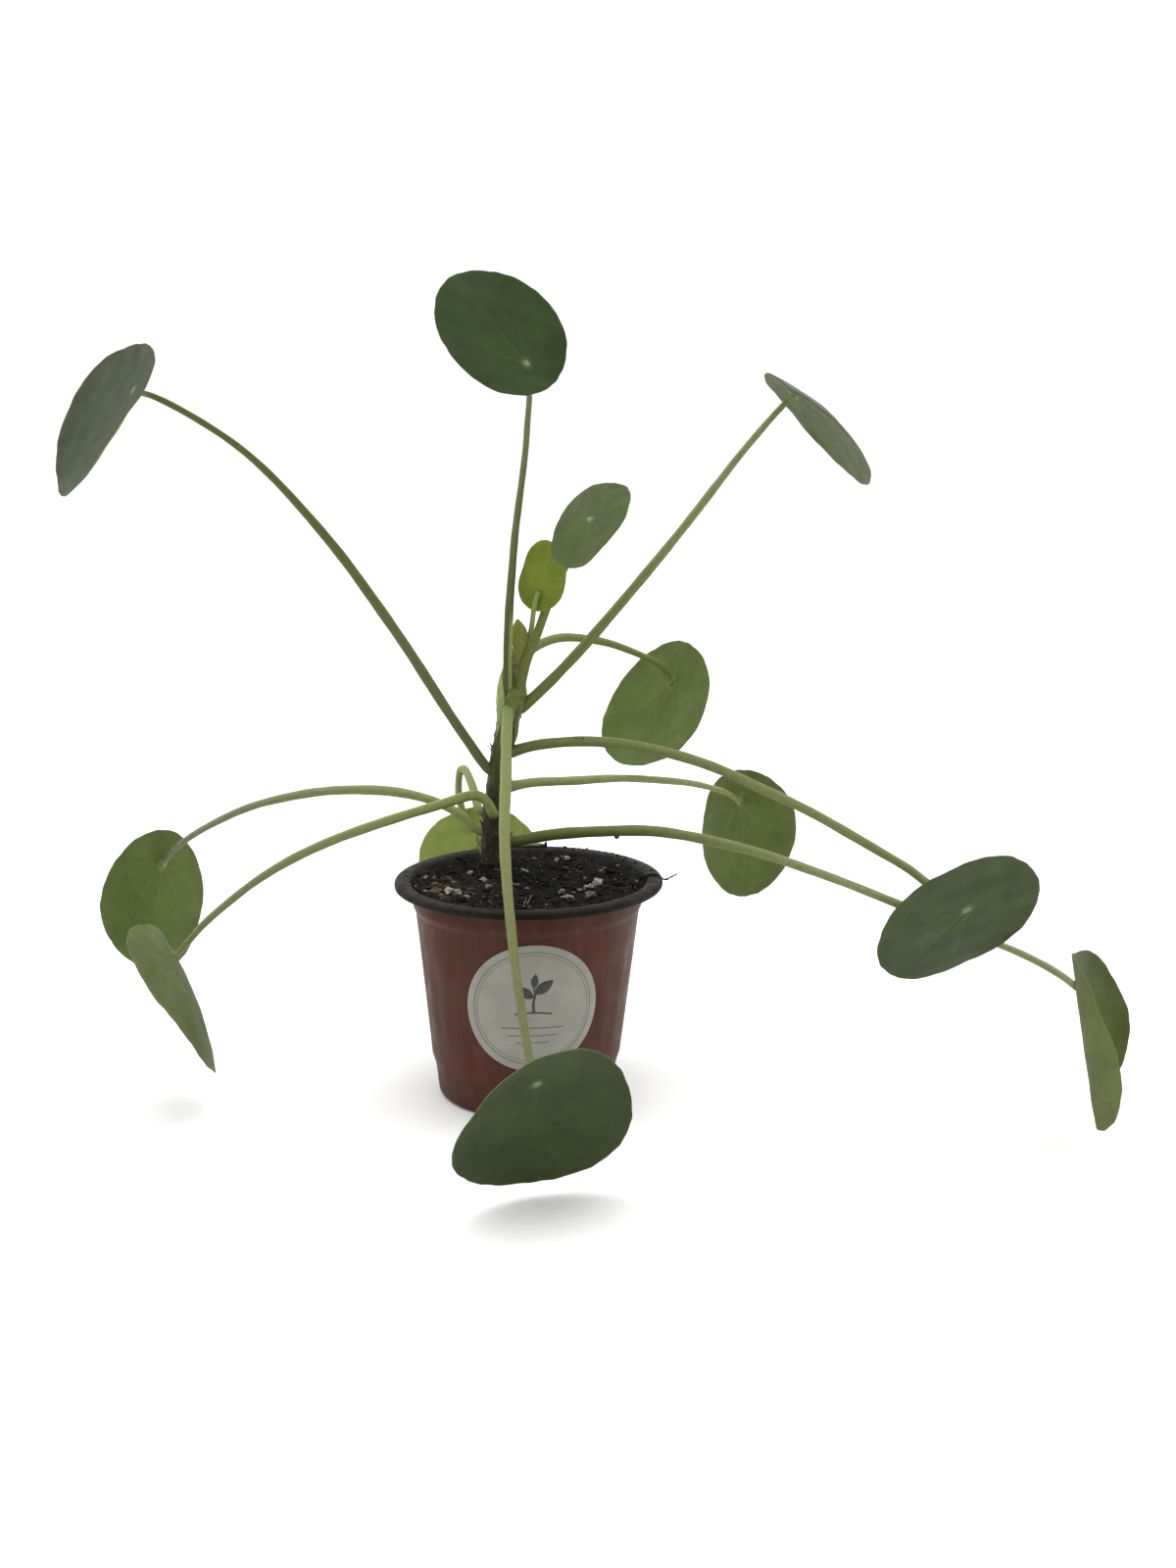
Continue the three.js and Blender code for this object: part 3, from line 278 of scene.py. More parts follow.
def lathe(profile, segments, ripple=None):
    """Full turn of (r, z) points that start and end on the axis."""
    prof = vec(profile)
    a = np.linspace(0, 2 * math.pi, segments, endpoint=False)
    rows = prof[1:-1]
    v = [np.array([[0, 0, prof[0, 1]], [0, 0, prof[-1, 1]]])]
    for r, z in rows:
        rr = r + (ripple(a, r, z) if ripple else 0.0)
        v.append(np.stack([rr * np.cos(a), rr * np.sin(a), np.full(segments, z)], -1))
    f, row_of = [], []
    idx = lambda r, k: 2 + r * segments + k % segments
    for k in range(segments):
        f.append([0, idx(0, k + 1), idx(0, k)])
        row_of.append(0)
    for r in range(len(rows) - 1):
        for k in range(segments):
            f.append([idx(r, k), idx(r, k + 1), idx(r + 1, k + 1), idx(r + 1, k)])
            row_of.append(r + 1)
    for k in range(segments):
        f.append([1, idx(len(rows) - 1, k), idx(len(rows) - 1, k + 1)])
        row_of.append(len(rows))
    return np.vstack(v), f, np.array(row_of)


def soften(points, passes, keep=()):
    """Corner cutting of a profile; points flagged in keep stay."""
    p = [tuple(q) for q in points]
    k = [i in keep for i in range(len(p))]
    for _ in range(passes):
        np_, nk = [p[0]], [True]
        for i in range(len(p) - 1):
            (x0, y0), (x1, y1) = p[i], p[i + 1]
            a = (x0 + 0.25 * (x1 - x0), y0 + 0.25 * (y1 - y0))
            b = (x0 + 0.75 * (x1 - x0), y0 + 0.75 * (y1 - y0))
            if k[i] and i > 0:
                np_.append(p[i])
                nk.append(True)
            if not k[i] or i == 0:
                np_.append(a)
                nk.append(False)
            if not k[i + 1] or i + 1 == len(p) - 1:
                np_.append(b)
                nk.append(False)
        np_.append(p[-1])
        nk.append(True)
        p, k = np_, nk
    return p


# ------------------------------------------------------------------ materials
class Mat:
    def __init__(self, name):
        self.m = bpy.data.materials.new(name)
        self.m.use_nodes = True
        self.t = self.m.node_tree
        self.t.nodes.clear()
        self.out = self.t.nodes.new("ShaderNodeOutputMaterial")
        self.b = self.t.nodes.new("ShaderNodeBsdfPrincipled")
        self.t.links.new(self.b.outputs[0], self.out.inputs[0])
        self.tc = self.t.nodes.new("ShaderNodeTexCoord").outputs["Object"]

    def n(self, kind, **vals):
        node = self.t.nodes.new("ShaderNode" + kind)
        for k, x in vals.items():
            setattr(node, k, x)
        return node

    def put(self, socket, x):
        if isinstance(x, bpy.types.NodeSocket):
            self.t.links.new(x, socket)
        elif isinstance(x, (tuple, list)) and len(x) == 3 and socket.type == "RGBA":
            socket.default_value = (*x, 1.0)
        else:
            socket.default_value = x

    def vmul(self, x):
        """Object coordinates scaled per axis; x is a tuple."""
        node = self.n("Mapping")
        self.put(node.inputs["Vector"], self.tc)
        node.inputs["Scale"].default_value = x
        return node.outputs[0]

    def noise(self, size, detail=2.0, rough=0.5, coord=None, distort=0.0):
        """Noise with features of about size millimetres."""
        node = self.n("TexNoise")
        self.put(node.inputs["Vector"], coord if coord is not None else self.tc)
        node.inputs["Scale"].default_value = 1000.0 / size
        node.inputs["Detail"].default_value = detail
        node.inputs["Roughness"].default_value = rough
        node.inputs["Distortion"].default_value = distort
        return node.outputs["Fac"]

    def cells(self, size, feature="F1", randomness=1.0, coord=None):
        node = self.n("TexVoronoi", feature=feature)
        self.put(node.inputs["Vector"], coord if coord is not None else self.tc)
        node.inputs["Scale"].default_value = 1000.0 / size
        node.inputs["Randomness"].default_value = randomness
        return node.outputs["Distance"]

    def attr(self, name, kind="Fac"):
        node = self.n("Attribute")
        node.attribute_name = name
        return node.outputs[kind]

    def ramp(self, fac, lo, hi, a=0.0, b=1.0):
        node = self.n("MapRange", interpolation_type="SMOOTHSTEP")
        self.put(node.inputs[0], fac)
        for i, x in zip((1, 2, 3, 4), (lo, hi, a, b)):
            self.put(node.inputs[i], x)
        return node.outputs[0]

    def math(self, op, x, y=0.0, clamp=False):
        node = self.n("Math", operation=op, use_clamp=clamp)
        self.put(node.inputs[0], x)
        self.put(node.inputs[1], y)
        return node.outputs[0]

    def mix(self, fac, a, b, mode="MIX"):
        node = self.n("Mix", data_type="RGBA", blend_type=mode)
        self.put(node.inputs[0], fac)
        self.put(node.inputs[6], a)
        self.put(node.inputs[7], b)
        return node.outputs[2]

    def gain(self, colour, fac):
        """Colour times a number."""
        node = self.n("VectorMath", operation="SCALE")
        self.put(node.inputs[0], colour)
        self.put(node.inputs[3], fac)
        return node.outputs[0]

    def bump(self, height, depth_mm, strength=1.0, normal=None):
        node = self.n("Bump")
        node.inputs["Strength"].default_value = strength
        node.inputs["Distance"].default_value = depth_mm * MM
        self.put(node.inputs["Height"], height)
        if normal is not None:
            self.put(node.inputs["Normal"], normal)
        return node.outputs[0]

    def done(self, colour, rough, normal=None, spec=0.5, through=None, coat=0.0, coat_rough=0.3, sheen=0.0):
        b = self.b
        self.put(b.inputs["Base Color"], colour)
        self.put(b.inputs["Roughness"], rough)
        b.inputs["Specular IOR Level"].default_value = spec
        b.inputs["Coat Weight"].default_value = coat
        b.inputs["Coat Roughness"].default_value = coat_rough
        b.inputs["Sheen Weight"].default_value = sheen
        if normal is not None:
            self.put(b.inputs["Normal"], normal)
        if through is not None:
            share, tint = through
            tr = self.n("BsdfTranslucent")
            self.put(tr.inputs["Color"], tint)
            if normal is not None:
                self.put(tr.inputs["Normal"], normal)
            mx = self.n("MixShader")
            mx.inputs[0].default_value = share
            self.t.links.new(b.outputs[0], mx.inputs[1])
            self.t.links.new(tr.outputs[0], mx.inputs[2])
            self.t.links.new(mx.outputs[0], self.out.inputs[0])
        return self.m


def leaf_top_material():
    m = Mat("leaf_top")
    tint = m.attr("tint", "Color")
    big = m.ramp(m.noise(17, 3, 0.55), 0.3, 0.7, 0.86, 1.14)
    fine = m.ramp(m.noise(2.2, 3, 0.6), 0.3, 0.7, 0.94, 1.06)
    c = m.gain(tint, m.math("MULTIPLY", big, fine))
    c = m.mix(m.math("MULTIPLY", m.attr("vein"), 0.20), c, m.gain(tint, 1.6))
    # painted sheen: a lighter band along the leaf's margin
    c = m.mix(m.math("MULTIPLY", m.attr("rim_sheen"), 0.25), c, m.gain(tint, 1.35))
    c = m.mix(m.attr("spot"), c, (0.20, 0.25, 0.125))
    nrm = m.bump(m.noise(4.0, 1, 0.5), 0.03, 0.4)
    nrm = m.bump(m.noise(11, 2, 0.5), 0.25, 0.5, nrm)
    rough = m.ramp(m.noise(6, 3, 0.6), 0.3, 0.7, 0.42, 0.54)
    return m.done(c, rough, nrm, spec=0.12, through=(0.14, m.gain(c, 1.5)))


def leaf_under_material(name="leaf_under", glow=0.26):
    m = Mat(name)
    tint = m.attr("tint", "Color")
    big = m.ramp(m.noise(14, 3, 0.55), 0.3, 0.7, 0.88, 1.12)
    fine = m.ramp(m.noise(2.6, 2, 0.5), 0.3, 0.7, 0.95, 1.05)
    c = m.gain(tint, m.math("MULTIPLY", big, fine))
    c = m.mix(m.math("MULTIPLY", m.attr("vein"), 0.20), c, m.gain(tint, 1.5))
    # painted sheen: a lighter band along the leaf's margin
    c = m.mix(m.math("MULTIPLY", m.attr("rim_sheen"), 0.25), c, m.gain(tint, 1.3))
    c = m.mix(m.attr("spot"), c, (0.27, 0.31, 0.16))
    nrm = m.bump(m.noise(8.0, 1, 0.5), 0.06, 0.4)
    rough = m.ramp(m.noise(6, 3, 0.6), 0.3, 0.7, 0.58, 0.70)
    return m.done(c, rough, nrm, spec=0.12, through=(glow, m.gain(c, 1.5)) if glow else None)


def stalk_material():
    m = Mat("stalk")
    tint = m.attr("tint", "Color")
    streak = m.noise(1.6, 2, 0.5)
    c = m.gain(tint, m.ramp(streak, 0.3, 0.7, 0.93, 1.07))
    c = m.mix(m.math("MULTIPLY", m.ramp(m.noise(7, 3, 0.6), 0.56, 0.72), 0.25), c, (0.13, 0.10, 0.045))
    fleck = m.ramp(m.cells(2.8, "F1"), 0.14, 0.06, 0.0, 0.14)
    c = m.mix(fleck, c, m.gain(tint, 1.7))
    nrm = m.bump(m.math("ADD", m.noise(2.6, 1, 0.5), m.math("MULTIPLY", m.attr("ridge"), 0.8)), 0.06, 0.4)
    return m.done(c, m.ramp(m.noise(3, 2), 0.3, 0.7, 0.44, 0.58), nrm, spec=0.24, through=(0.10, m.gain(c, 1.3)))


def stem_material():
    m = Mat("stem")
    bark = m.attr("bark")
    green = m.gain(m.attr("tint", "Color"), m.ramp(m.noise(2.5, 3, 0.6), 0.3, 0.7, 0.82, 1.18))
    brown = m.mix(m.ramp(m.noise(1.2, 4, 0.65), 0.32, 0.68), (0.019, 0.0162, 0.0105), (0.054, 0.0460, 0.0280))
    brown = m.mix(m.ramp(m.noise(4.5, 2, 0.6), 0.58, 0.74, 0.0, 0.6), brown, (0.055, 0.055, 0.032))
    c = m.mix(bark, green, brown)
    c = m.mix(m.math("MULTIPLY", m.attr("scar"), 0.7), c, (0.075, 0.066, 0.040))
    fib = m.noise(0.8, 4, 0.7, coord=m.vmul((1.0, 1.0, 0.28)))
    nrm = m.bump(fib, 0.35, 0.8)
    nrm = m.bump(m.noise(2.8, 3, 0.6), 0.5, 0.6, nrm)
    rough = m.mix(bark, (0.5, 0.5, 0.5), (0.86, 0.86, 0.86))
    return m.done(c, rough, nrm, spec=0.16)


def husk_material():
    m = Mat("husk")
    tint = m.attr("tint", "Color")
    c = m.gain(tint, m.ramp(m.noise(0.9, 3, 0.6, coord=m.vmul((1.0, 1.0, 0.3))), 0.3, 0.7, 0.75, 1.25))
    nrm = m.bump(m.noise(0.6, 3, 0.7, coord=m.vmul((1.0, 1.0, 0.25))), 0.15, 0.7)
    return m.done(c, 0.6, nrm, spec=0.4, through=(0.15, m.gain(c, 1.3)))


def pot_material():
    m = Mat("pot_brown")
    streak = m.noise(3.2, 4, 0.6, coord=m.vmul((1.0, 1.0, 0.10)))
    base = m.mix(m.ramp(m.noise(26, 3, 0.55), 0.3, 0.7), (0.064, 0.0228, 0.0143), (0.085, 0.0306, 0.0193))
    base = m.gain(base, m.ramp(streak, 0.3, 0.7, 0.90, 1.10))
    dust = m.math("MULTIPLY", m.ramp(m.noise(5.0, 5, 0.7), 0.55, 0.80), m.attr("dust"))
    base = m.mix(m.math("MULTIPLY", dust, 0.4), base, (0.15, 0.11, 0.09))
    scuff = m.ramp(m.noise(0.8, 3, 0.6, coord=m.vmul((0.22, 0.22, 1.0))), 0.70, 0.80, 0.0, 0.35)
    base = m.mix(m.math("MULTIPLY", scuff, m.ramp(m.noise(15, 2), 0.52, 0.66)), base, (0.14, 0.085, 0.068))
    grain = m.math("ADD", m.noise(0.5, 2, 0.5), m.math("MULTIPLY", streak, 1.2))
    nrm = m.bump(grain, 0.06, 0.6)
    rough = m.ramp(m.noise(9, 4, 0.6), 0.3, 0.7, 0.42, 0.56)
    return m.done(base, rough, nrm, spec=0.10)


def black_material():
    m = Mat("pot_black")
    base = m.mix(m.ramp(m.noise(9, 4, 0.6), 0.3, 0.7), (0.0062, 0.0056, 0.0036), (0.0128, 0.0114, 0.0076))
    smear = m.ramp(m.noise(3.4, 5, 0.7, coord=m.vmul((0.6, 0.6, 1.0))), 0.52, 0.74, 0.0, 0.5)
    base = m.mix(smear, base, (0.024, 0.019, 0.012))
    base = m.mix(m.ramp(m.noise(1.5, 5, 0.7), 0.62, 0.78, 0.0, 0.45), base, (0.036, 0.032, 0.024))
    # painted shade: the front of the lip is darker and browner
    base = m.mix(m.math("MULTIPLY", m.attr("front"), 0.80), base, (0.0070, 0.0030, 0.0008))
    nrm = m.bump(m.math("ADD", m.noise(0.6, 3, 0.6), m.math("MULTIPLY", m.noise(3, 2), 0.8)), 0.08, 0.7)
    rough = m.ramp(m.noise(4, 4, 0.6), 0.3, 0.7, 0.50, 0.70)
    return m.done(base, rough, nrm, spec=0.12)


def soil_material():
    m = Mat("potting_mix")
    tint = m.attr("brown")
    dark = m.mix(m.ramp(m.noise(1.6, 5, 0.7), 0.35, 0.68), (0.0022, 0.0022, 0.0018), (0.0074, 0.0070, 0.0052))
    warm = m.mix(m.ramp(m.noise(1.1, 5, 0.7), 0.35, 0.68), (0.0062, 0.0046, 0.0033), (0.032, 0.0220, 0.0135))
    c = m.mix(tint, dark, warm)
    c = m.mix(m.ramp(m.cells(1.3, "F1"), 0.20, 0.10, 0.0, 0.4), c, (0.034, 0.031, 0.024))
    nrm = m.bump(m.noise(1.0, 6, 0.75), 0.9, 0.9)
    return m.done(c, 0.92, nrm, spec=0.15)


def bits_material():
    m = Mat("mix_bits")
    tint = m.attr("tint", "Color")
    c = m.gain(tint, m.ramp(m.noise(0.7, 4, 0.7), 0.3, 0.7, 0.65, 1.35))
    nrm = m.bump(m.noise(0.5, 4, 0.7), 0.3, 0.9)
    return m.done(c, 0.9, nrm, spec=0.15)


def perlite_material():
    m = Mat("perlite")
    tint = m.attr("tint", "Color")
    c = m.gain(tint, m.ramp(m.noise(0.8, 4, 0.65), 0.3, 0.7, 0.72, 1.12))
    c = m.mix(m.ramp(m.noise(0.6, 3, 0.7), 0.50, 0.66, 0.0, 0.75), c, (0.075, 0.066, 0.050))
    nrm = m.bump(m.math("ADD", m.noise(0.4, 3, 0.7), m.cells(0.5, "F1")), 0.25, 0.9)
    return m.done(c, 0.85, nrm, spec=0.3)


def paper_material():
    m = Mat("label_paper")
    c = m.mix(m.ramp(m.noise(9, 4, 0.6), 0.3, 0.7), (0.27, 0.262, 0.225), (0.31, 0.302, 0.262))
    c = m.gain(c, m.ramp(m.noise(0.6, 3, 0.6), 0.3, 0.7, 0.97, 1.03))
    c = m.mix(m.ramp(m.noise(4, 5, 0.7), 0.62, 0.80, 0.0, 0.25), c, (0.17, 0.15, 0.12))
    nrm = m.bump(m.noise(0.35, 2, 0.6), 0.02, 0.6)
    return m.done(c, m.ramp(m.noise(7, 3), 0.3, 0.7, 0.45, 0.55), nrm, spec=0.25)


def ink_material(name, shade):
    m = Mat(name)
    c = m.mix(m.ramp(m.noise(0.5, 3, 0.6), 0.3, 0.75), shade, tuple(min(1, s * 1.5 + 0.01) for s in shade))
    return m.done(c, 0.55, m.bump(m.noise(0.4, 2), 0.01, 0.5), spec=0.4)


M_TOP, M_UNDER, M_STALK, M_STEM = leaf_top_material(), leaf_under_material(), stalk_material(), stem_material()
M_UNDER_DULL = leaf_under_material("leaf_under_dull", 0.0)
M_HUSK, M_POT, M_BLACK, M_SOIL = husk_material(), pot_material(), black_material(), soil_material()
M_BITS, M_PERLITE, M_PAPER = bits_material(), perlite_material(), paper_material()
M_INK = ink_material("label_ink", (0.030, 0.033, 0.030))
M_INK_SOFT = ink_material("label_ink_soft", (0.12, 0.13, 0.115))


# ------------------------------------------------------------------ leaves
SECTORS, RINGS = 128, 30
VEINS = ((0.0, 1.0), (0.72, 0.85), (-0.72, 0.85), (1.38, 0.6), (-1.38, 0.6), (2.15, 0.4), (-2.15, 0.4), (3.1, 0.25))


def blade_map(leaf):
    at, n = vec(leaf["at"]), unit(leaf["n"])
    t = vec(leaf["t"])
    t = unit(t - n * (t @ n))
    b = np.cross(t, n)
    kb, kt, kxy = leaf["bend"]
    arc = lambda k, s: s if abs(k) < 1e-6 else np.sin(k * s) / k
    drop = lambda k, s: 0 * s if abs(k) < 1e-6 else (1 - np.cos(k * s)) / k

    def place(x, y, lift):
        px, py = arc(kb, x), arc(kt, y)
        pw = -drop(kb, x) - drop(kt, y) - kxy * x * y
        dx = np.stack([np.cos(kb * x), 0 * x, -np.sin(kb * x) - kxy * y], -1)
        dy = np.stack([0 * y, np.cos(kt * y), -np.sin(kt * y) - kxy * x], -1)
        m = unit(np.cross(dx, dy)) * np.asarray(lift)[..., None]
        return at + (px + m[..., 0])[..., None] * b + (py + m[..., 1])[..., None] * t + (pw + m[..., 2])[..., None] * n

    return place


def blade(name, leaf, seed):
    rnd = random.Random(seed)
    place = blade_map(leaf)
    R, off = leaf["r"], leaf["off"]
    lobes = leaf["lobes"]
    f = np.linspace(0, 2 * math.pi, SECTORS, endpoint=False)
    ph = [rnd.uniform(0, 6.28) for _ in range(6)]
    crenel = 0.0035 * np.sin(17 * f + ph[0] + 1.3 * np.sin(3 * f + ph[1])) + 0.0025 * np.sin(29 * f + ph[2])
    swell = sum(lobes[2 * i] * np.cos((i + 2) * f) + lobes[2 * i + 1] * np.sin((i + 2) * f) for i in range(len(lobes) // 2))
    r = R * (1 + swell + crenel)
    s_in = (np.arange(1, RINGS + 1) / RINGS) ** 1.25 * 0.985
    scale = R / 29.0
    thick = 0.72 if R > 15 else 0.5
    veins = [(a + (rnd.uniform(-0.10, 0.10) if a else 0), w) for a, w in VEINS]

    def fields(s, ff, rr):
        x, y = s * rr * np.sin(ff), s * (off * R + rr * np.cos(ff))
        d = np.hypot(x, y)
        vein = np.zeros_like(x)
        for a, w in veins:
            along = x * math.sin(a) + y * math.cos(a)
            bow = 0.10 * along * along / R * math.copysign(1, a) if abs(a) > 0.3 and abs(a) < 2 else 0.0
            across = np.abs(x * math.cos(a) - y * math.sin(a) + bow)
            wid = 0.75 * scale * (1 - 0.5 * np.clip(along / (1.5 * R), 0, 1)) + 0.12
            vein = np.maximum(vein, w * (along > 0) * np.exp(-(across / wid) ** 2) * (1 - 0.75 * smooth(0.25 * R, 1.35 * R, along)))
        return x, y, d, vein

    rows_v, att = [], {"vein": [], "spot": [], "rim_sheen": []}

    def add(x, y, lift, vein, spot, rim_sheen):
        rows_v.append(place(x, y, lift))
        att["vein"].append(vein)
        att["spot"].append(spot)
        att["rim_sheen"].append(rim_sheen)

    wave = lambda s, ff: (0.42 * np.sin(3 * ff + ph[3]) + 0.28 * np.sin(5 * ff + ph[4]) + 0.12 * np.sin(11 * ff + ph[5])) * scale * smooth(0.35, 1.0, s) * s
    one = np.ones_like(f)
    zero = np.zeros_like(f)
    S, FF = s_in[:, None] * one, f[None, :] * np.ones((RINGS, 1))
    RR = r[None, :] * np.ones((RINGS, 1))
    X, Y, D, VE = fields(S, FF, RR)
    half = thick / 2 * (1 - 0.28 * smooth(0.6, 1.0, S))
    W = wave(S, FF)
    billow = 0.16 * scale * np.sin(0.42 * X / scale + ph[1]) * np.sin(0.37 * Y / scale + ph[2]) * smooth(0.1, 0.5, S) * (1 - smooth(0.8, 1, S))
    dimple = -0.30 * scale * np.exp(-(D / (2.2 * scale)) ** 2) + 0.10 * np.exp(-(D / (0.7 * scale)) ** 2)
    top = W + billow + half + dimple - 0.13 * scale * VE * smooth(0.6, 3.0, D)
    low = W + billow - half - 0.15 * scale * VE * smooth(0.6, 3.0, D) - 0.35 * scale * np.exp(-(D / (1.6 * scale)) ** 2)
    spot_top = 0.80 * smooth(1.7 * scale, 0.8 * scale, D) + 0.16 * smooth(3.8 * scale, 1.4 * scale, D)
    spot_low = 0.80 * smooth(3.1 * scale, 1.5 * scale, D)
    # painted sheen along the margin, drawn as a lighter rim
    rim_sheen = smooth(0.955, 0.985, S)
    # centre, top rings, margin, bottom rings, centre
    c0 = np.zeros(1)
    add(c0, c0, c0 + thick / 2 - 0.2 * scale, c0, c0 + 1, c0)
    for i in range(RINGS):
        add(X[i], Y[i], top[i], VE[i], np.clip(spot_top[i], 0, 1), rim_sheen[i])
    half_e, w_e = thick / 2 * 0.72, wave(one, f)
    for ang in (65, 35, 0, -35, -65):
        c, q = math.cos(math.radians(ang)), math.sin(math.radians(ang))
        s = 0.985 + 0.015 * c
        x, y = s * r * np.sin(f), s * (off * R + r * np.cos(f))
        add(x, y, w_e + half_e * q, zero, zero, one)
    for i in range(RINGS - 1, -1, -1):
        add(X[i], Y[i], low[i], VE[i], np.clip(spot_low[i], 0, 1), rim_sheen[i])
    add(c0, c0, c0 - thick / 2 - 0.5 * scale, c0, c0 + 1, c0)
    rows = 2 * RINGS + 5
    v = np.vstack([q.reshape(-1, 3) for q in rows_v])
    at = {k: np.concatenate([np.atleast_1d(q) for q in x]) for k, x in att.items()}
    last = len(v) - 1
    idx = lambda row, k: 1 + row * SECTORS + k % SECTORS
    faces, mats = [], []
    for k in range(SECTORS):
        faces.append([0, idx(0, k + 1), idx(0, k)])
        mats.append(0)
    for row in range(rows - 1):
        mat = 0 if row < RINGS + 2 else 1
        for k in range(SECTORS):
            faces.append([idx(row, k), idx(row, k + 1), idx(row + 1, k + 1), idx(row + 1, k)])
            mats.append(mat)
    for k in range(SECTORS):
        faces.append([last, idx(rows - 1, k), idx(rows - 1, k + 1)])
        mats.append(1)
    # per-leaf greens: real leaf colour with painted light and shade in them
    top_c, low_c = (vec(lin(h)) for h in GREEN[name])
    is_low = np.zeros(len(v), bool)
    is_low[idx(RINGS + 2, 0):] = True
    tint = np.where(is_low[:, None], low_c, top_c)
    at["tint"] = tint
    return make("leaf_" + name + "_blade", v, faces, [M_TOP, M_UNDER_DULL if name == "upper_right" else M_UNDER], slot="leaf_young_green" if name in ("new", "behind_pot") else "leaf_green",
                replaces=["leaf_" + name], face_mats=mats, attrs=at)


for number, (name, leaf) in enumerate(LEAVES.items()):
    blade(name, leaf, 11 + number)


# ------------------------------------------------------------------ stalks
FEET = {"upright": [-7.5, 14.2, 149.4, 1.25], "young": [-3.4, 14.7, 148.0, 1.9]}
# painted light: a paler strip down the lit side of a stalk, fixed in one direction; columns are direction, how much of
# it, height range, colour
PAINTED_LIT_SIDE = {"upright": ((0.95, -0.3, 0.0), 0.62, 140.0, 186.0, "8b9857"), "new": ((0.95, -0.3, 0.0), 0.05, 150.0, 186.0, "98a56a")}


def stalk(name, data, seed):
    rnd = random.Random(seed)
    pts = [p[:] for p in data]
    leaf = LEAVES.get(name)
    if leaf:
        n = unit(leaf["n"])
        end = vec(leaf["at"]) - n * 0.25
        pts[-1] = (end - n * 0.55).tolist() + [pts[-1][3]]
        pts.append(end.tolist() + [pts[-1][3]])
    # the foot starts inside the stem, a little lower
    axis = vec([np.interp(pts[0][2] - 1.2, [p[2] for p in STEM], [p[c] for p in STEM]) for c in range(3)])
    foot = axis + 0.35 * (vec(pts[0][:3]) - axis)
    foot[2] = pts[0][2] - 1.2
    if name in FEET:
        pts.insert(0, FEET[name])
    elif name not in ("new", "bud"):
        pts.insert(0, foot.tolist() + [pts[0][3]])
    line, q = spline(pts, 1.3)
    line, rad = line[:, :3], line[:, 3]
    L = q[-1]
    s = q / L
    rad = rad * (1 + 0.12 * np.exp(-((q - 2.0) / 2.6) ** 2))
    if leaf:
        rad = rad * (1 + 0.45 * np.exp(-((L - q) / 1.1) ** 2))
    rad = rad * (1 + 0.025 * np.sin(q / 5.3 + rnd.uniform(0, 6)) + 0.02 * np.sin(q / 2.1 + rnd.uniform(0, 6)))
    sides = 18
    ridges = lambda i, th: 1 + 0.030 * np.cos(5 * th + 0.6 + 0.012 * i) + 0.012 * np.cos(9 * th - 0.9)
    v, f, st, an = tube(line, rad, sides, (True, False) if leaf else (True, True), ridges)
    # per-stalk greens: real stalk colour with painted light and shade in them
    c0, c1 = vec(lin(STALK_GREEN[name][0])), vec(lin(STALK_GREEN[name][1]))
    w = smooth(0.0, 0.85, s[st])[:, None]
    tint = c0 * (1 - w) + c1 * w
    # darker, browner foot and paler top end
    foot = np.exp(-(q[st] / 4.5) ** 2)[:, None]
    tint = tint * (1 - 0.40 * foot) + foot * 0.40 * vec(lin("4c4a2c"))
    if leaf:
        tip = np.exp(-((L - q[st]) / 4.0) ** 2)[:, None]
        tint = tint * (1 - 0.45 * tip) + tip * 0.45 * vec(lin("9aa36c"))
    # painted light: the side of the stalk that faces the light is paler
    if name in PAINTED_LIT_SIDE:
        side, edge, z0, z1, tone = PAINTED_LIT_SIDE[name]
        w = (smooth(edge - 0.12, edge + 0.12, unit(v - line[st]) @ unit(side)) * smooth(z1, z1 - 12, v[:, 2]) * smooth(z0, z0 + 4, v[:, 2]))[:, None]
        tint = tint * (1 - w) + vec(lin(tone)) * w
    ridge = 0.5 + 0.5 * np.cos(5 * an + 0.6 + 0.012 * st)
    return make("stalk_" + name, v, f, [M_STALK], slot="stalk_green", replaces=["petiole_" + name], attrs={"tint": tint, "ridge": ridge})


for number, (name, data) in enumerate(STALKS.items()):
    stalk(name, data, 301 + number)


# ------------------------------------------------------------------ stem
def catmull_stem():
    foot = [-13.7, 23.0, 70.0, 6.0]
    line, q = spline([foot] + STEM, 0.55)
    return line, q


stem_line, stem_q = catmull_stem()


def stem_point(z):
    i = int(np.argmin(np.abs(stem_line[:, 2] - z)))
    return stem_line[i, :3], stem_line[i, 3]


# leaf scars: height, direction round the stem (degrees, -90 is the front), half width, half height
SCARS = [(86.5, -35, 2.5, 2.0), (88.5, 160, 2.3, 1.8), (91.5, -150, 2.6, 2.0), (94.0, 75, 2.4, 1.9), (97.2, -75, 2.3, 1.7),
         (100.3, 20, 2.2, 1.7), (101.5, -165, 2.1, 1.6), (108.0, -20, 2.0, 1.5), (112.5, -120, 2.0, 1.5), (117.0, 60, 1.9, 1.4), (124.5, -55, 1.8, 1.3), (131.0, 150, 1.7, 1.2)]
NODE_Z = [92.0, 96.1, 103.8, 105.4, 113.8, 121.4, 128.1, 133.5, 138.0, 145.2, 147.8, 151.0]


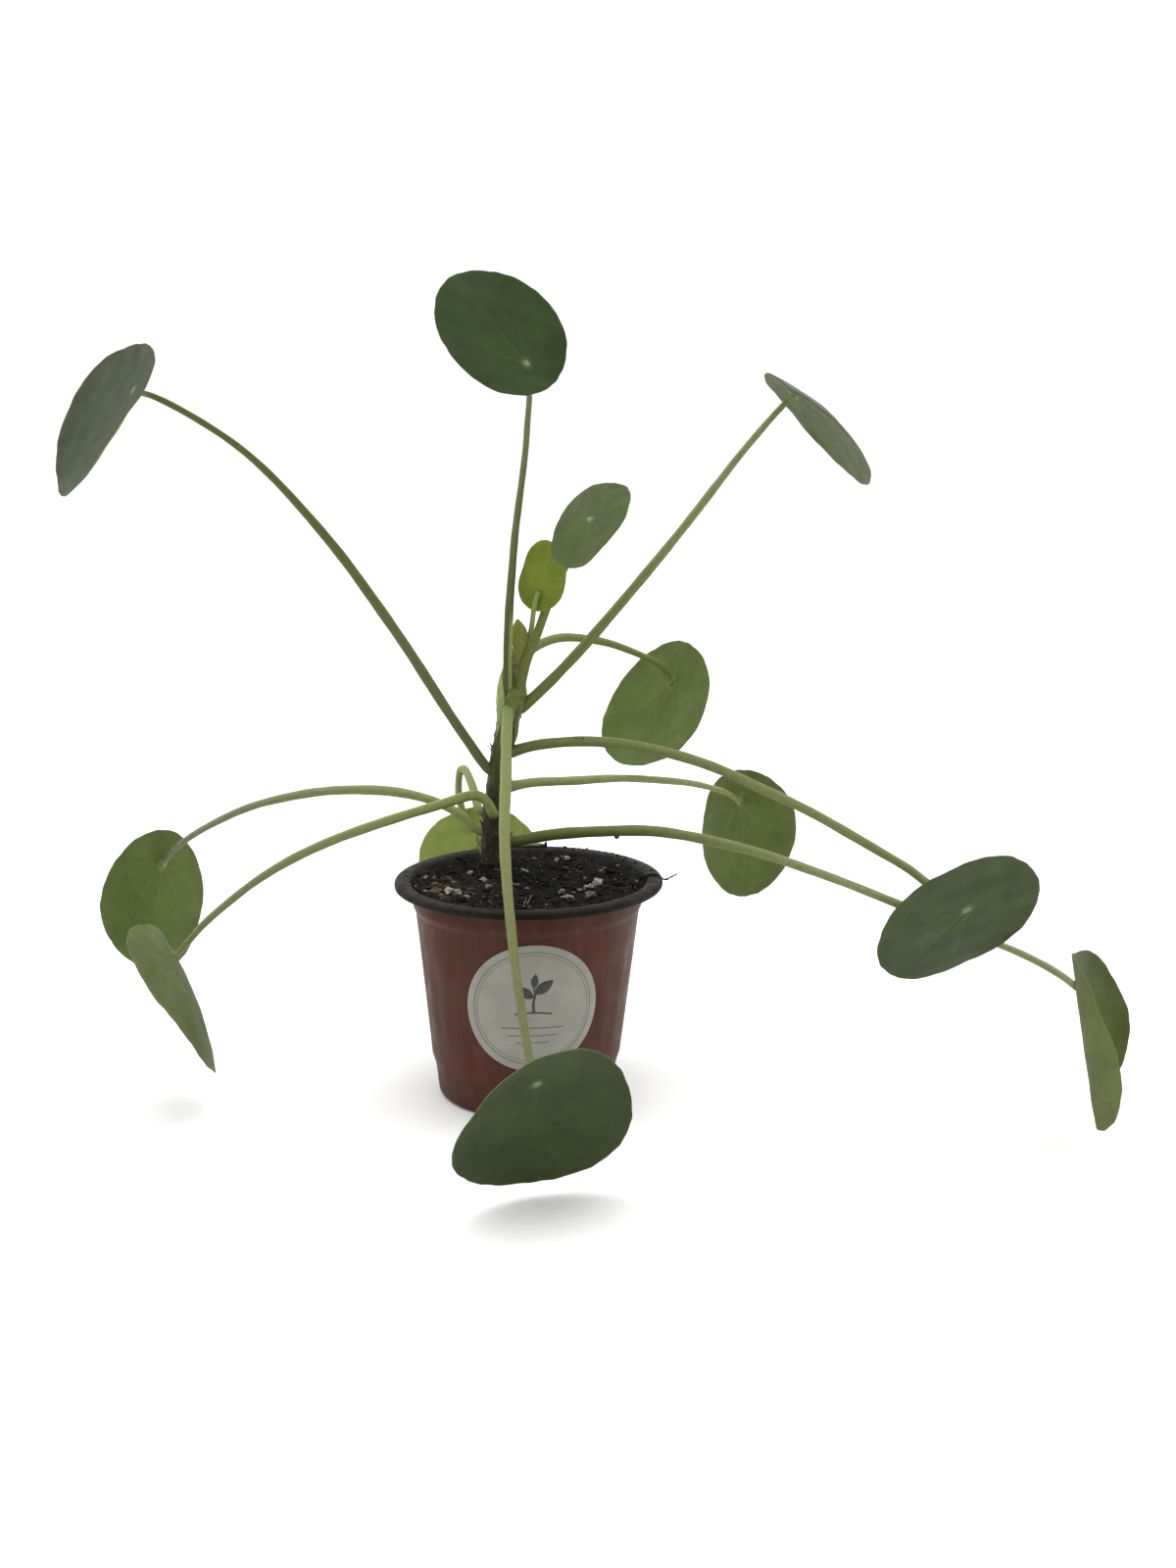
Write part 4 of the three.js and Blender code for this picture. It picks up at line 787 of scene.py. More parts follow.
def stem():
    sides = 64
    line = stem_line[:, :3]
    z = line[:, 2]
    rad = stem_line[:, 3].copy()
    for nz in NODE_Z:
        rad += 0.32 * np.exp(-((z - nz) / 1.1) ** 2)
    t, a, b = frames(line)
    th = np.linspace(0, 2 * math.pi, sides, endpoint=False)
    V = np.zeros((len(line), sides, 3))
    scar = np.zeros((len(line), sides))
    push = np.zeros((len(line), sides))
    for i in range(len(line)):
        d = np.cos(th)[:, None] * a[i] + np.sin(th)[:, None] * b[i]
        V[i] = d
        ang = np.degrees(np.arctan2(d[:, 1], d[:, 0]))
        for sz, sa, hw, hh in SCARS:
            da = (ang - sa + 180) % 360 - 180
            u, w = np.radians(da) * rad[i] / hw, (z[i] - sz) / hh
            e = np.sqrt(u * u + w * w)
            scar[i] = np.maximum(scar[i], smooth(1.0, 0.72, e))
            push[i] += 0.30 * np.exp(-((e - 1.0) / 0.22) ** 2) - 0.22 * smooth(0.9, 0.4, e)
    dirs = V.reshape(-1, 3)
    zz = np.repeat(z, sides)
    base = np.repeat(line, sides, axis=0)
    r = np.repeat(rad, sides)
    p0 = base + dirs * r[:, None]
    edge = 102.6 + 1.1 * noise_at(p0, 3.0, 5.0)
    bark = smooth(edge + 0.5, edge - 0.5, zz)
    rough1 = noise_at(p0 * vec((1, 1, 0.45)), 1.6, 2.0, 2)
    rough2 = noise_at(p0, 4.5, 9.0, 2)
    r = r + push.ravel() * (0.35 + 0.65 * bark) + bark * (0.30 * rough1 + 0.30 * rough2) + (1 - bark) * (0.06 * rough1 + 0.16 * rough2)
    r = r - 0.18 * np.exp(-((zz - edge) / 0.35) ** 2)
    v = base + dirs * r[:, None]
    n = len(line)
    f = [[i * sides + k, i * sides + (k + 1) % sides, (i + 1) * sides + (k + 1) % sides, (i + 1) * sides + k] for i in range(n - 1) for k in range(sides)]
    # domed growing tip and closed foot
    tip_rows = []
    for d, w in ((0.55, 0.93), (1.1, 0.74), (1.5, 0.45), (1.65, 0.2)):
        tip_rows.append(line[-1] + t[-1] * d + (v[(n - 1) * sides:n * sides] - line[-1]) * w)
    v = np.vstack([v] + tip_rows + [line[-1] + t[-1] * 1.7, line[0]])
    rows = n + 4
    f += [[i * sides + k, i * sides + (k + 1) % sides, (i + 1) * sides + (k + 1) % sides, (i + 1) * sides + k] for i in range(n - 1, rows - 1) for k in range(sides)]
    top, low = rows * sides, rows * sides + 1
    f += [[(rows - 1) * sides + k, (rows - 1) * sides + (k + 1) % sides, top] for k in range(sides)]
    f += [[(k + 1) % sides, k, low] for k in range(sides)]
    extra = 4 * sides + 2
    zz = np.r_[zz, np.full(extra, 152.5)]
    bark = np.r_[bark, np.zeros(extra)]
    scar = np.r_[scar.ravel() * (0.55 + 0.45 * bark[:n * sides]), np.zeros(extra)]
    c_low, c_mid, c_top = vec(lin("353b1c")), vec(lin("424b22")), vec(lin("5d6830"))
    w1, w2 = smooth(112, 130, zz)[:, None], smooth(128, 146, zz)[:, None]
    tint = c_low * (1 - w1) + c_mid * w1
    tint = tint * (1 - w2) + c_top * w2
    make("stem", v, f, [M_STEM], slot="stem_bark", replaces=["main_stem"], attrs={"bark": bark, "scar": np.clip(scar, 0, 1) * 0.8, "tint": tint})


stem()


# ------------------------------------------------------------------ scales and small stem pieces
def scale_piece(pile, at, up, out, length, width, colour, curl=0.35, thick=0.22):
    """A small pointed stipule: a curved triangular shell standing at a node."""
    at, up, out = vec(at), unit(up), vec(out)
    out = unit(out - up * (out @ up))
    side = np.cross(up, out)
    nu, nv = 9, 7
    top, low = [], []
    for i in range(nu):
        s = i / (nu - 1)
        w = width * (1 - s) ** 0.75 * (0.75 + 0.6 * s * (1 - s) * 2)
        for j in range(nv):
            x = (j / (nv - 1) - 0.5) * 2
            p = at + up * length * s + side * w * 0.5 * x + out * (curl * length * s * s + 0.28 * width * (1 - x * x) * (1 - 0.6 * s))
            nn = unit(out + side * x * 0.8)
            h = thick * 0.5 * (1 - 0.6 * s)
            top.append(p + nn * h)
            low.append(p - nn * h)
    v = np.vstack([top, low])
    o = nu * nv
    f = []
    for i in range(nu - 1):
        for j in range(nv - 1):
            a, b, c, d = i * nv + j, i * nv + j + 1, (i + 1) * nv + j + 1, (i + 1) * nv + j
            f.append([a, b, c, d])
            f.append([o + a, o + d, o + c, o + b])
    for i in range(nu - 1):
        a, d = i * nv, (i + 1) * nv
        f.append([a, d, o + d, o + a])
        a, d = i * nv + nv - 1, (i + 1) * nv + nv - 1
        f.append([d, a, o + a, o + d])
    for j in range(nv - 1):
        f.append([j + 1, j, o + j, o + j + 1])
        a = (nu - 1) * nv + j
        f.append([a, a + 1, o + a + 1, o + a])
    s = np.tile(np.repeat(np.linspace(0, 1, nu), nv), 2)[:, None]
    c = vec(colour)
    pile.add(v, f, tint=c * (1 - 0.35 * s) + s * 0.35 * vec((0.16, 0.11, 0.06)))


husks = Pile()
pale, olive, brown = lin("87905e"), lin("5f6236"), lin("4a3a28")
# sheaths round the growing end: colour, then x, y, z, half breadth and half thickness along each
SHEATHS = [
    ("95a368", [[-9.52, 13.60, 160.32, 0.18, 0.30], [-10.07, 13.60, 156.99, 0.88, 0.60], [-10.48, 13.40, 152.20, 1.57, 1.00], [-10.59, 13.20, 148.14, 1.79, 1.20], [-10.69, 12.90, 144.09, 1.60, 1.10], [-11.10, 13.00, 140.34, 1.09, 0.80], [-11.76, 13.60, 136.87, 0.47, 0.45], [-12.19, 14.20, 134.52, 0.15, 0.25]]),
    ("7a7846", [[-4.75, 15.70, 169.60, 0.90, 0.35], [-4.65, 15.60, 165.40, 1.85, 0.45], [-4.45, 15.40, 161.95, 2.10, 0.80], [-4.50, 15.30, 158.25, 2.15, 1.10], [-4.45, 15.30, 153.79, 2.05, 1.50], [-4.43, 15.20, 149.34, 1.98, 1.90], [-4.57, 15.00, 144.89, 1.68, 1.90]]),
    ("4b5829", [[-5.31, 14.30, 157.64, 0.18, 0.20], [-5.17, 13.90, 155.47, 0.40, 0.35], [-5.06, 13.50, 152.93, 0.40, 0.40], [-5.10, 13.20, 151.11, 0.22, 0.30]]),
    ("7e8a50", [[-8.52, 11.90, 148.71, 0.18, 0.30], [-7.85, 11.90, 149.82, 0.33, 0.35], [-6.82, 12.20, 151.04, 0.33, 0.35], [-5.43, 12.60, 152.61, 0.15, 0.20]]),
    ("6c7846", [[-4.48, 14.00, 142.42, 0.73, 0.60], [-4.64, 13.60, 139.12, 0.91, 0.80], [-4.88, 13.40, 135.40, 0.73, 0.70], [-5.43, 13.40, 132.02, 0.22, 0.30]]),
    ("5d6a34", [[-5.60, 13.40, 150.60, 0.40, 0.50], [-5.80, 13.00, 149.30, 1.10, 1.20], [-6.10, 12.60, 147.20, 1.80, 1.70], [-6.30, 12.20, 144.80, 1.85, 1.70], [-6.50, 11.80, 142.60, 1.30, 1.10], [-6.60, 11.70, 140.80, 0.50, 0.50]]),
    ("5d6936", [[-3.21, 14.60, 151.66, 1.68, 1.50], [-3.33, 14.40, 148.71, 1.68, 1.60], [-3.64, 14.00, 145.78, 1.53, 1.60], [-4.17, 13.80, 142.83, 1.10, 1.20]]),
]


def strap(pile, rows, colour):
    """A closed, flattened bar that follows its rows."""
    row, q = spline(rows, 0.45)
    mid, hw, ht = row[:, :3], np.maximum(row[:, 3], 0.12), np.maximum(row[:, 4], 0.12)
    t = unit(np.gradient(mid, axis=0))
    wide = unit(vec((1.0, -0.12, 0.0)) - t * (t @ vec((1.0, -0.12, 0.0)))[:, None])
    deep = np.cross(t, wide)
    sides = 28
    th = np.linspace(0, 2 * math.pi, sides, endpoint=False)
    v = (mid[:, None] + wide[:, None] * (hw[:, None] * np.cos(th))[..., None] + deep[:, None] * (ht[:, None] * np.sin(th))[..., None]).reshape(-1, 3)
    v = v + 0.10 * noise_at(v, 1.7, 3.0)[:, None] * unit(v - np.repeat(mid, sides, axis=0))
    n = len(row)
    v = np.vstack([v, mid[0] - t[0] * 0.1, mid[-1] + t[-1] * 0.1])
    f = [[i * sides + k, i * sides + (k + 1) % sides, (i + 1) * sides + (k + 1) % sides, (i + 1) * sides + k] for i in range(n - 1) for k in range(sides)]
    f += [[n * sides, (k + 1) % sides, k] for k in range(sides)] + [[n * sides + 1, (n - 1) * sides + k, (n - 1) * sides + (k + 1) % sides] for k in range(sides)]
    pile.add(v, f, tint=vec(lin(colour)))


for colour, rows in SHEATHS:
    strap(husks, rows, colour)
for z, deg, length, width, colour in [(121.9, 195, 3.6, 2.6, olive), (127.4, -62, 3.4, 2.6, olive), (129.0, 200, 3.0, 2.0, brown), (114.6, -12, 3.0, 2.4, olive),
                                      (106.0, -165, 3.2, 2.6, brown), (105.6, -80, 3.0, 2.4, brown), (97.3, 172, 3.2, 2.4, brown), (93.2, 2, 3.0, 2.3, brown),
                                      (137.0, 100, 4.2, 3.0, olive), (140.5, 20, 4.0, 3.0, olive), (146.0, 150, 4.4, 3.0, olive), (132.0, 75, 3.6, 2.6, olive)]:
    p, r = stem_point(z)
    d = vec((math.cos(math.radians(deg)), math.sin(math.radians(deg)), 0.0))
    scale_piece(husks, p + d * (r - 0.25), (0, 0, 1.0) + d * 0.25, d, length, width, colour, 0.22)
husks.make("stem_scales", [M_HUSK], slot="stalk_green")

# fine dry hairs and the dry stump of an old stalk beside the stem's foot
dry = Pile()
for pts, rad, colour in [([(-12.7, 15.6, 126.8), (-14.4, 15.3, 128.4), (-15.9, 15.0, 131.0)], (0.30, 0.12), lin("8c8a62")),
                         ([(-6.5, 46.2, 83.75), (-3.0, 46.7, 83.95), (0.5, 46.9, 84.0), (3.6, 46.9, 84.15)], (0.30, 0.85), lin("7f876a")),
                         ([(-13.5, 45.0, 83.55), (-11.5, 45.4, 83.75), (-9.6, 45.9, 83.7)], (0.25, 0.45), lin("6c6f5c")),
                         ([(4.3, 46.7, 83.5), (5.0, 46.8, 84.2), (5.3, 46.9, 85.1)], (1.0, 0.5), lin("23211b")),
                         ([(-18.6, 22.0, 87.6), (-20.3, 22.2, 90.4), (-21.2, 22.4, 93.4)], (0.95, 0.55), lin("a3ab7c")),
                         ([(-18.4, 23.6, 85.6), (-20.0, 23.8, 87.6), (-21.4, 23.8, 89.2)], (0.75, 0.45), lin("939b6a"))]:
    line, q = spline(pts, 0.6)
    s = q / q[-1]
    rr = rad[0] + (rad[1] - rad[0]) * s
    v, f, st, an = tube(line, rr * (1 + 0.10 * np.sin(q * 1.7)), 12)
    v = v + 0.16 * min(rad) * noise_at(v, 0.9, 7.0)[:, None] * unit(v - line[st])
    dry.add(v, f, tint=vec(colour))
for centre, size, colour in [((17.9, 8.75, 134.45), 0.42, "2c2a20"), ((20.3, 8.0, 134.5), 0.50, "23221b"), ((19.1, 8.4, 134.5), 0.30, "4a4634"),
                             ((33.2, 10.0, 96.2), 0.95, "5e6438")]:
    line = np.array([vec(centre) + vec((1.0, -0.3, 0.05)) * size * k for k in np.linspace(-1, 1, 7)])
    v, f, st, an = tube(line, size * np.sqrt(np.clip(1 - np.linspace(-0.97, 0.97, 7) ** 2, 0.05, 1)), 10)
    dry.add(v + 0.12 * noise_at(v, 0.8, 5.0)[:, None] * unit(v - vec(centre)), f, tint=vec(lin(colour)))
dry.make("dry_stubs", [M_HUSK], slot="stem_bark")


# ------------------------------------------------------------------ bud leaf
def bud():
    a, b = vec(BUD["a"]), vec(BUD["b"])
    axis = b - a
    across = vec(BUD["across"])
    across = unit(across - axis * (across @ axis) / (axis @ axis))
    deep = unit(np.cross(axis, across))
    st = np.array([[0.0, 0.5, 0.3], [0.06, 1.05, 0.5], [0.12, 1.6, 0.7], [0.32, 2.6, 1.0], [0.58, 3.15, 1.1], [0.8, 2.6, 0.9], [0.91, 1.75, 0.62], [0.97, 0.9, 0.4], [1.0, 0.3, 0.15]])
    ss = np.linspace(0, 1, 34)
    w = np.interp(ss, st[:, 0], st[:, 1])
    d = np.interp(ss, st[:, 0], st[:, 2])
    k = np.ones(5) / 5
    pad = lambda x: np.convolve(np.r_[[x[0]] * 2, x, [x[-1]] * 2], k, "valid")
    w, d = pad(w), pad(d)
    sides = 40
    th = np.linspace(0, 2 * math.pi, sides, endpoint=False)
    v, sv = [], []
    for s, ww, dd in zip(ss, w, d):
        # two halves folded together: a groove down the near face and a split edge
        groove = 1 - 0.30 * np.exp(-((np.sin(th) + 1) / 0.05)) - 0.30 * np.exp(-((1 - np.sin(th)) / 0.05))
        ribs = 1 + 0.03 * np.cos(14 * th)
        v.append(a + axis * s + np.outer(ww * np.cos(th) * ribs + BUD["bow"] * math.sin(math.pi * s), across) + np.outer(dd * np.sin(th) * groove * ribs, deep))
        sv += [s] * sides
    n = len(ss)
    v = np.vstack(v + [a - axis * 0.01, b + axis * 0.01])
    f = [[i * sides + k2, i * sides + (k2 + 1) % sides, (i + 1) * sides + (k2 + 1) % sides, (i + 1) * sides + k2] for i in range(n - 1) for k2 in range(sides)]
    f += [[n * sides, (k2 + 1) % sides, k2] for k2 in range(sides)] + [[n * sides + 1, (n - 1) * sides + k2, (n - 1) * sides + (k2 + 1) % sides] for k2 in range(sides)]
    sv = np.array(sv + [0, 1])[:, None]
    tint = vec(lin("8a8e48")) * (1 - sv) + vec(lin("8d9550")) * sv
    make("leaf_bud_folded", v, f, [M_UNDER], slot="leaf_young_green", replaces=["leaf_bud"],
         attrs={"tint": tint, "vein": np.zeros(len(v)), "spot": np.zeros(len(v)), "rim_sheen": np.zeros(len(v))})


bud()


# ------------------------------------------------------------------ pot
WALL = ((CORNER_Z, WALL_LOW_R), (STEP_LOW_Z, STEP_LOW_R), (STEP_Z, STEP_R), (SHOULDER_Z, WALL_TOP_R - SHOULDER_OUT))


def wall_r(z):
    i = 0
    while i < len(WALL) - 2 and z > WALL[i + 1][0]:
        i += 1
    (z0, r0), (z1, r1) = WALL[i], WALL[i + 1]
    return r0 + (r1 - r0) * (z - z0) / (z1 - z0)


def lean(v):
    """The thin wall sags a little to the left under its lip."""
    v = np.array(v, float)
    z = v[:, 2]
    v[:, 0] -= (0.45 + 0.0165 * (75.0 - np.clip(z, 0, 75))) * smooth(81.0, 73.5, z)
    return v


def pot():
    wall = [(wall_r(z), z) for z in (8, 10.2)] + [(STEP_LOW_R + 0.12, STEP_LOW_Z + 0.6), ((STEP_LOW_R + STEP_R) / 2, (STEP_LOW_Z + STEP_Z) / 2), (STEP_R - 0.10, STEP_Z - 0.7)]
    wall += [(wall_r(z), z) for z in (17.6, 22, 27, 32, 38, 44, 50, 56, 62, 67, 69.8)]
    upper = [(wall_r(SHOULDER_Z) - 0.05, SHOULDER_Z - 0.4), (WALL_TOP_R - 0.25, SHOULDER_Z + 1.5), (WALL_TOP_R, SHOULDER_Z + 2.4), (WALL_TOP_R + 0.25, POT_H - 4.6),
             (WALL_TOP_R + 0.7, POT_H - 3.3), (WALL_TOP_R + 1.8, POT_H - 2.6), (RIM_R - 2.2, POT_H - 2.75), (RIM_R - 0.4, POT_H - 3.0), (RIM_R + 0.30, POT_H - 2.6),
             (RIM_R + 0.35, POT_H - 1.3), (RIM_R - 0.3, POT_H - 0.45), (LIP_CREST_R + 0.9, POT_H - 0.08), (LIP_CREST_R - 0.3, POT_H)]
    inner = [(LIP_CREST_R - 1.9, POT_H - 0.2), (WALL_TOP_R + 1.3, POT_H - 0.8), (WALL_TOP_R + 0.3, POT_H - 2.0), (WALL_TOP_R - 0.6, POT_H - 4.2),
             (WALL_TOP_R - SKIN, SHOULDER_Z + 2.2), (wall_r(SHOULDER_Z) - SKIN, SHOULDER_Z - 0.2), (wall_r(44) - SKIN, 44), (STEP_R - SKIN, STEP_Z + 0.2),
             (STEP_LOW_R - SKIN, STEP_LOW_Z + 0.3), (WALL_LOW_R - SKIN, CORNER_Z + 0.3), (WALL_LOW_R - 1.9, 1.6), (FOOT_OUT_R - 0.7, SKIN), (FOOT_IN_R + 0.6, SKIN),
             (FOOT_IN_R - 1.9, CHANNEL_Z + SKIN), (PAD_R + 1.9, CHANNEL_Z + SKIN), (PAD_R - 0.6, SKIN), (0, SKIN)]
    prof = [(0, 0), (PAD_R - 0.5, 0)] + soften([(PAD_R - 0.5, 0), (PAD_R, 0), (PAD_R + 2.4, CHANNEL_Z), (PAD_R + 3.2, CHANNEL_Z)], 2)[1:]
    prof += [(14.0, CHANNEL_Z), (23.0, CHANNEL_Z)] + soften([(24.6, CHANNEL_Z), (FOOT_IN_R - 2.4, CHANNEL_Z), (FOOT_IN_R, 0), (FOOT_IN_R + 0.8, 0)], 2)
    prof += [(FOOT_OUT_R - 0.8, 0)] + soften([(FOOT_OUT_R - 0.6, 0), (FOOT_OUT_R + 0.3, 0), (WALL_LOW_R - 0.3, 1.0), (WALL_LOW_R + 0.1, CORNER_Z), (wall_r(5.8), 5.8)], 2)
    prof += wall
    n_wall = len(prof)
    up = soften([(wall_r(70.6), 70.6)] + upper + inner[:4], 2)
    prof += up
    prof += inner[4:]
    crest = max(range(len(prof)), key=lambda i: prof[i][1])
    ripple = lambda a, r, z: 0.0 if (z < 18 or z > 70 or r < wall_r(z) - 0.5) else float(smooth(18, 26, z) * smooth(70, 62, z)) * (0.085 * np.cos(26 * a) + 0.05 * np.sin(7 * a + 0.4) + 0.03 * np.sin(11 * a + 2.0))
    v, f, rows = lathe(prof, 208, ripple)
    v = lean(v)
    # plastic is black from the outer corner of the lip inwards and on the inside
    black_from = next(i for i, q in enumerate(prof) if q[1] > POT_H - 4.0 and q[0] > WALL_TOP_R + 0.55)
    mats = np.where(rows >= black_from, 1, 0)
    z = v[:, 2]
    dust = 0.25 + 0.75 * np.maximum(smooth(64, 76, z), smooth(16, 2, z))
    # front: painted shade over the front of the lip, growing from 27 mm to 46 mm in front of the axis
    ob = make("pot_shell", v, f, [M_POT, M_BLACK], slot="pot_plastic", replaces=["pot"], face_mats=mats, attrs={"dust": dust, "front": smooth(-27.0, -46.0, v[:, 1])})
    # drain holes through the raised channel
    cutters = []
    for i in range(DRAIN_COUNT):
        a = 2 * math.pi * (i + 0.5) / DRAIN_COUNT
        bpy.ops.mesh.primitive_cylinder_add(vertices=32, radius=DRAIN_R * MM, depth=6 * MM, location=((DRAIN_PCD_R * math.cos(a) - 1.62) * MM, DRAIN_PCD_R * MM * math.sin(a), (CHANNEL_Z + 0.5) * MM))
        cutters.append(bpy.context.active_object)
    bpy.ops.object.select_all(action="DESELECT")
    for c in cutters:
        c.select_set(True)
    bpy.context.view_layer.objects.active = cutters[0]
    bpy.ops.object.join()
    cutter = bpy.context.active_object
    cutter.data.materials.append(M_BLACK)
    mod = ob.modifiers.new("holes", "BOOLEAN")
    mod.object, mod.operation, mod.solver = cutter, "DIFFERENCE", "EXACT"
    bpy.context.view_layer.update()
    dg = bpy.context.evaluated_depsgraph_get()
    new = bpy.data.meshes.new_from_object(ob.evaluated_get(dg))
    ob.modifiers.clear()
    ob.data = new
    bpy.data.objects.remove(cutter)
    return ob


pot()


# ------------------------------------------------------------------ potting mix
def soil_z(x, y):
    d2 = (x - MOUND[0]) ** 2 + (y - MOUND[1]) ** 2
    return (SOIL_Z + MOUND[3] * math.exp(-d2 / (MOUND[2] * MOUND[2])) + 0.45 * math.sin(0.31 * x + 0.7) * math.cos(0.27 * y - 0.4)
            + 0.25 * math.sin(0.53 * y + 0.21 * x))


def soil_fine(x, y):
    r = math.hypot(x, y)
    z = soil_z(x, y)
    z += 1.15 * noise.noise(Vector((x / 5.2, y / 5.2, 1.7))) + 0.75 * noise.noise(Vector((x / 2.3, y / 2.3, 8.1))) + 0.40 * noise.noise(Vector((x / 1.05, y / 1.05, 3.3)))
    return z + 1.5 * float(smooth(34.0, 43.0, r))  # heaped against the wall


def soil():
    seg = 240
    radii = list(np.linspace(0.8, 43.45, 66))
    a = np.linspace(0, 2 * math.pi, seg, endpoint=False)
    v = [[0.0, 0.0, soil_fine(0, 0)]]
    for r in radii:
        for k in range(seg):
            x, y = r * math.cos(a[k]), r * math.sin(a[k])
            v.append([x, y, soil_fine(x, y)])
    low = [(WALL_TOP_R - SKIN - 0.1, 78.2), (WALL_TOP_R - SKIN - 0.12, 74.6), (wall_r(71) - SKIN - 0.12, 71.0), (wall_r(44) - SKIN - 0.12, 44.0),
           (STEP_R - SKIN - 0.12, STEP_Z + 0.5), (STEP_LOW_R - SKIN - 0.12, STEP_LOW_Z), (wall_r(5.3) - SKIN - 0.12, 5.3), (20.0, 5.3)]
    for r, z in low:
        for k in range(seg):
            v.append([r * math.cos(a[k]), r * math.sin(a[k]), z])
    v.append([0, 0, 5.3])
    rows = len(radii) + len(low)
    idx = lambda row, k: 1 + row * seg + k % seg
    f = [[0, idx(0, k), idx(0, k + 1)] for k in range(seg)]
    for row in range(rows - 1):
        f += [[idx(row, k), idx(row + 1, k), idx(row + 1, k + 1), idx(row, k + 1)] for k in range(seg)]
    f += [[len(v) - 1, idx(rows - 1, k + 1), idx(rows - 1, k)] for k in range(seg)]
    v = lean(v)
    # brown fibrous patch at the left front, dark peat elsewhere
    nz = np.array([noise.noise(Vector((q[0] / 7, q[1] / 7, 4.4))) for q in v])
    d = np.hypot((v[:, 0] + 24) / 17, (v[:, 1] + 6) / 13)
    tint = np.clip(smooth(1.15, 0.45, d + 0.35 * nz), 0, 1)
    make("potting_mix_body", v, f, [M_SOIL], slot="potting_mix", replaces=["potting_mix"], attrs={"brown": tint})


soil()

ICO = {}


def lump(rnd, centre, size, squash=(1, 1, 1), detail=1, jag=0.28):
    """Irregular closed chip round a point."""
    if detail not in ICO:
        import bmesh
        bm = bmesh.new()
        bmesh.ops.create_icosphere(bm, subdivisions=detail, radius=1.0)
        ICO[detail] = (np.array([q.co[:] for q in bm.verts]), [[q.index for q in fc.verts] for fc in bm.faces])
        bm.free()
    base, faces = ICO[detail]
    off = rnd.uniform(0, 90)
    k = np.array([1 + jag * 2.0 * noise.noise(Vector((q[0] * 1.3 + off, q[1] * 1.3, q[2] * 1.3))) + jag * 0.8 * noise.noise(Vector((q[0] * 3.1, q[1] * 3.1 + off, q[2] * 3.1))) for q in base])
    v = base * k[:, None] * vec(squash) * size
    rx, ry, rz = (rnd.uniform(0, 2 * math.pi) for _ in range(3))
    tilt = rnd.uniform(-0.5, 0.5)
    c, s = math.cos(rz), math.sin(rz)
    rot = np.array([[c, -s, 0], [s, c, 0], [0, 0, 1]])
    c2, s2 = math.cos(tilt), math.sin(tilt)
    rot = rot @ np.array([[1, 0, 0], [0, c2, -s2], [0, s2, c2]])
    return v @ rot.T + vec(centre), faces


def near_stem(x, y, extra=0.0):
    return math.hypot(x + 13.6, y - 22.2) < 6.2 + extra


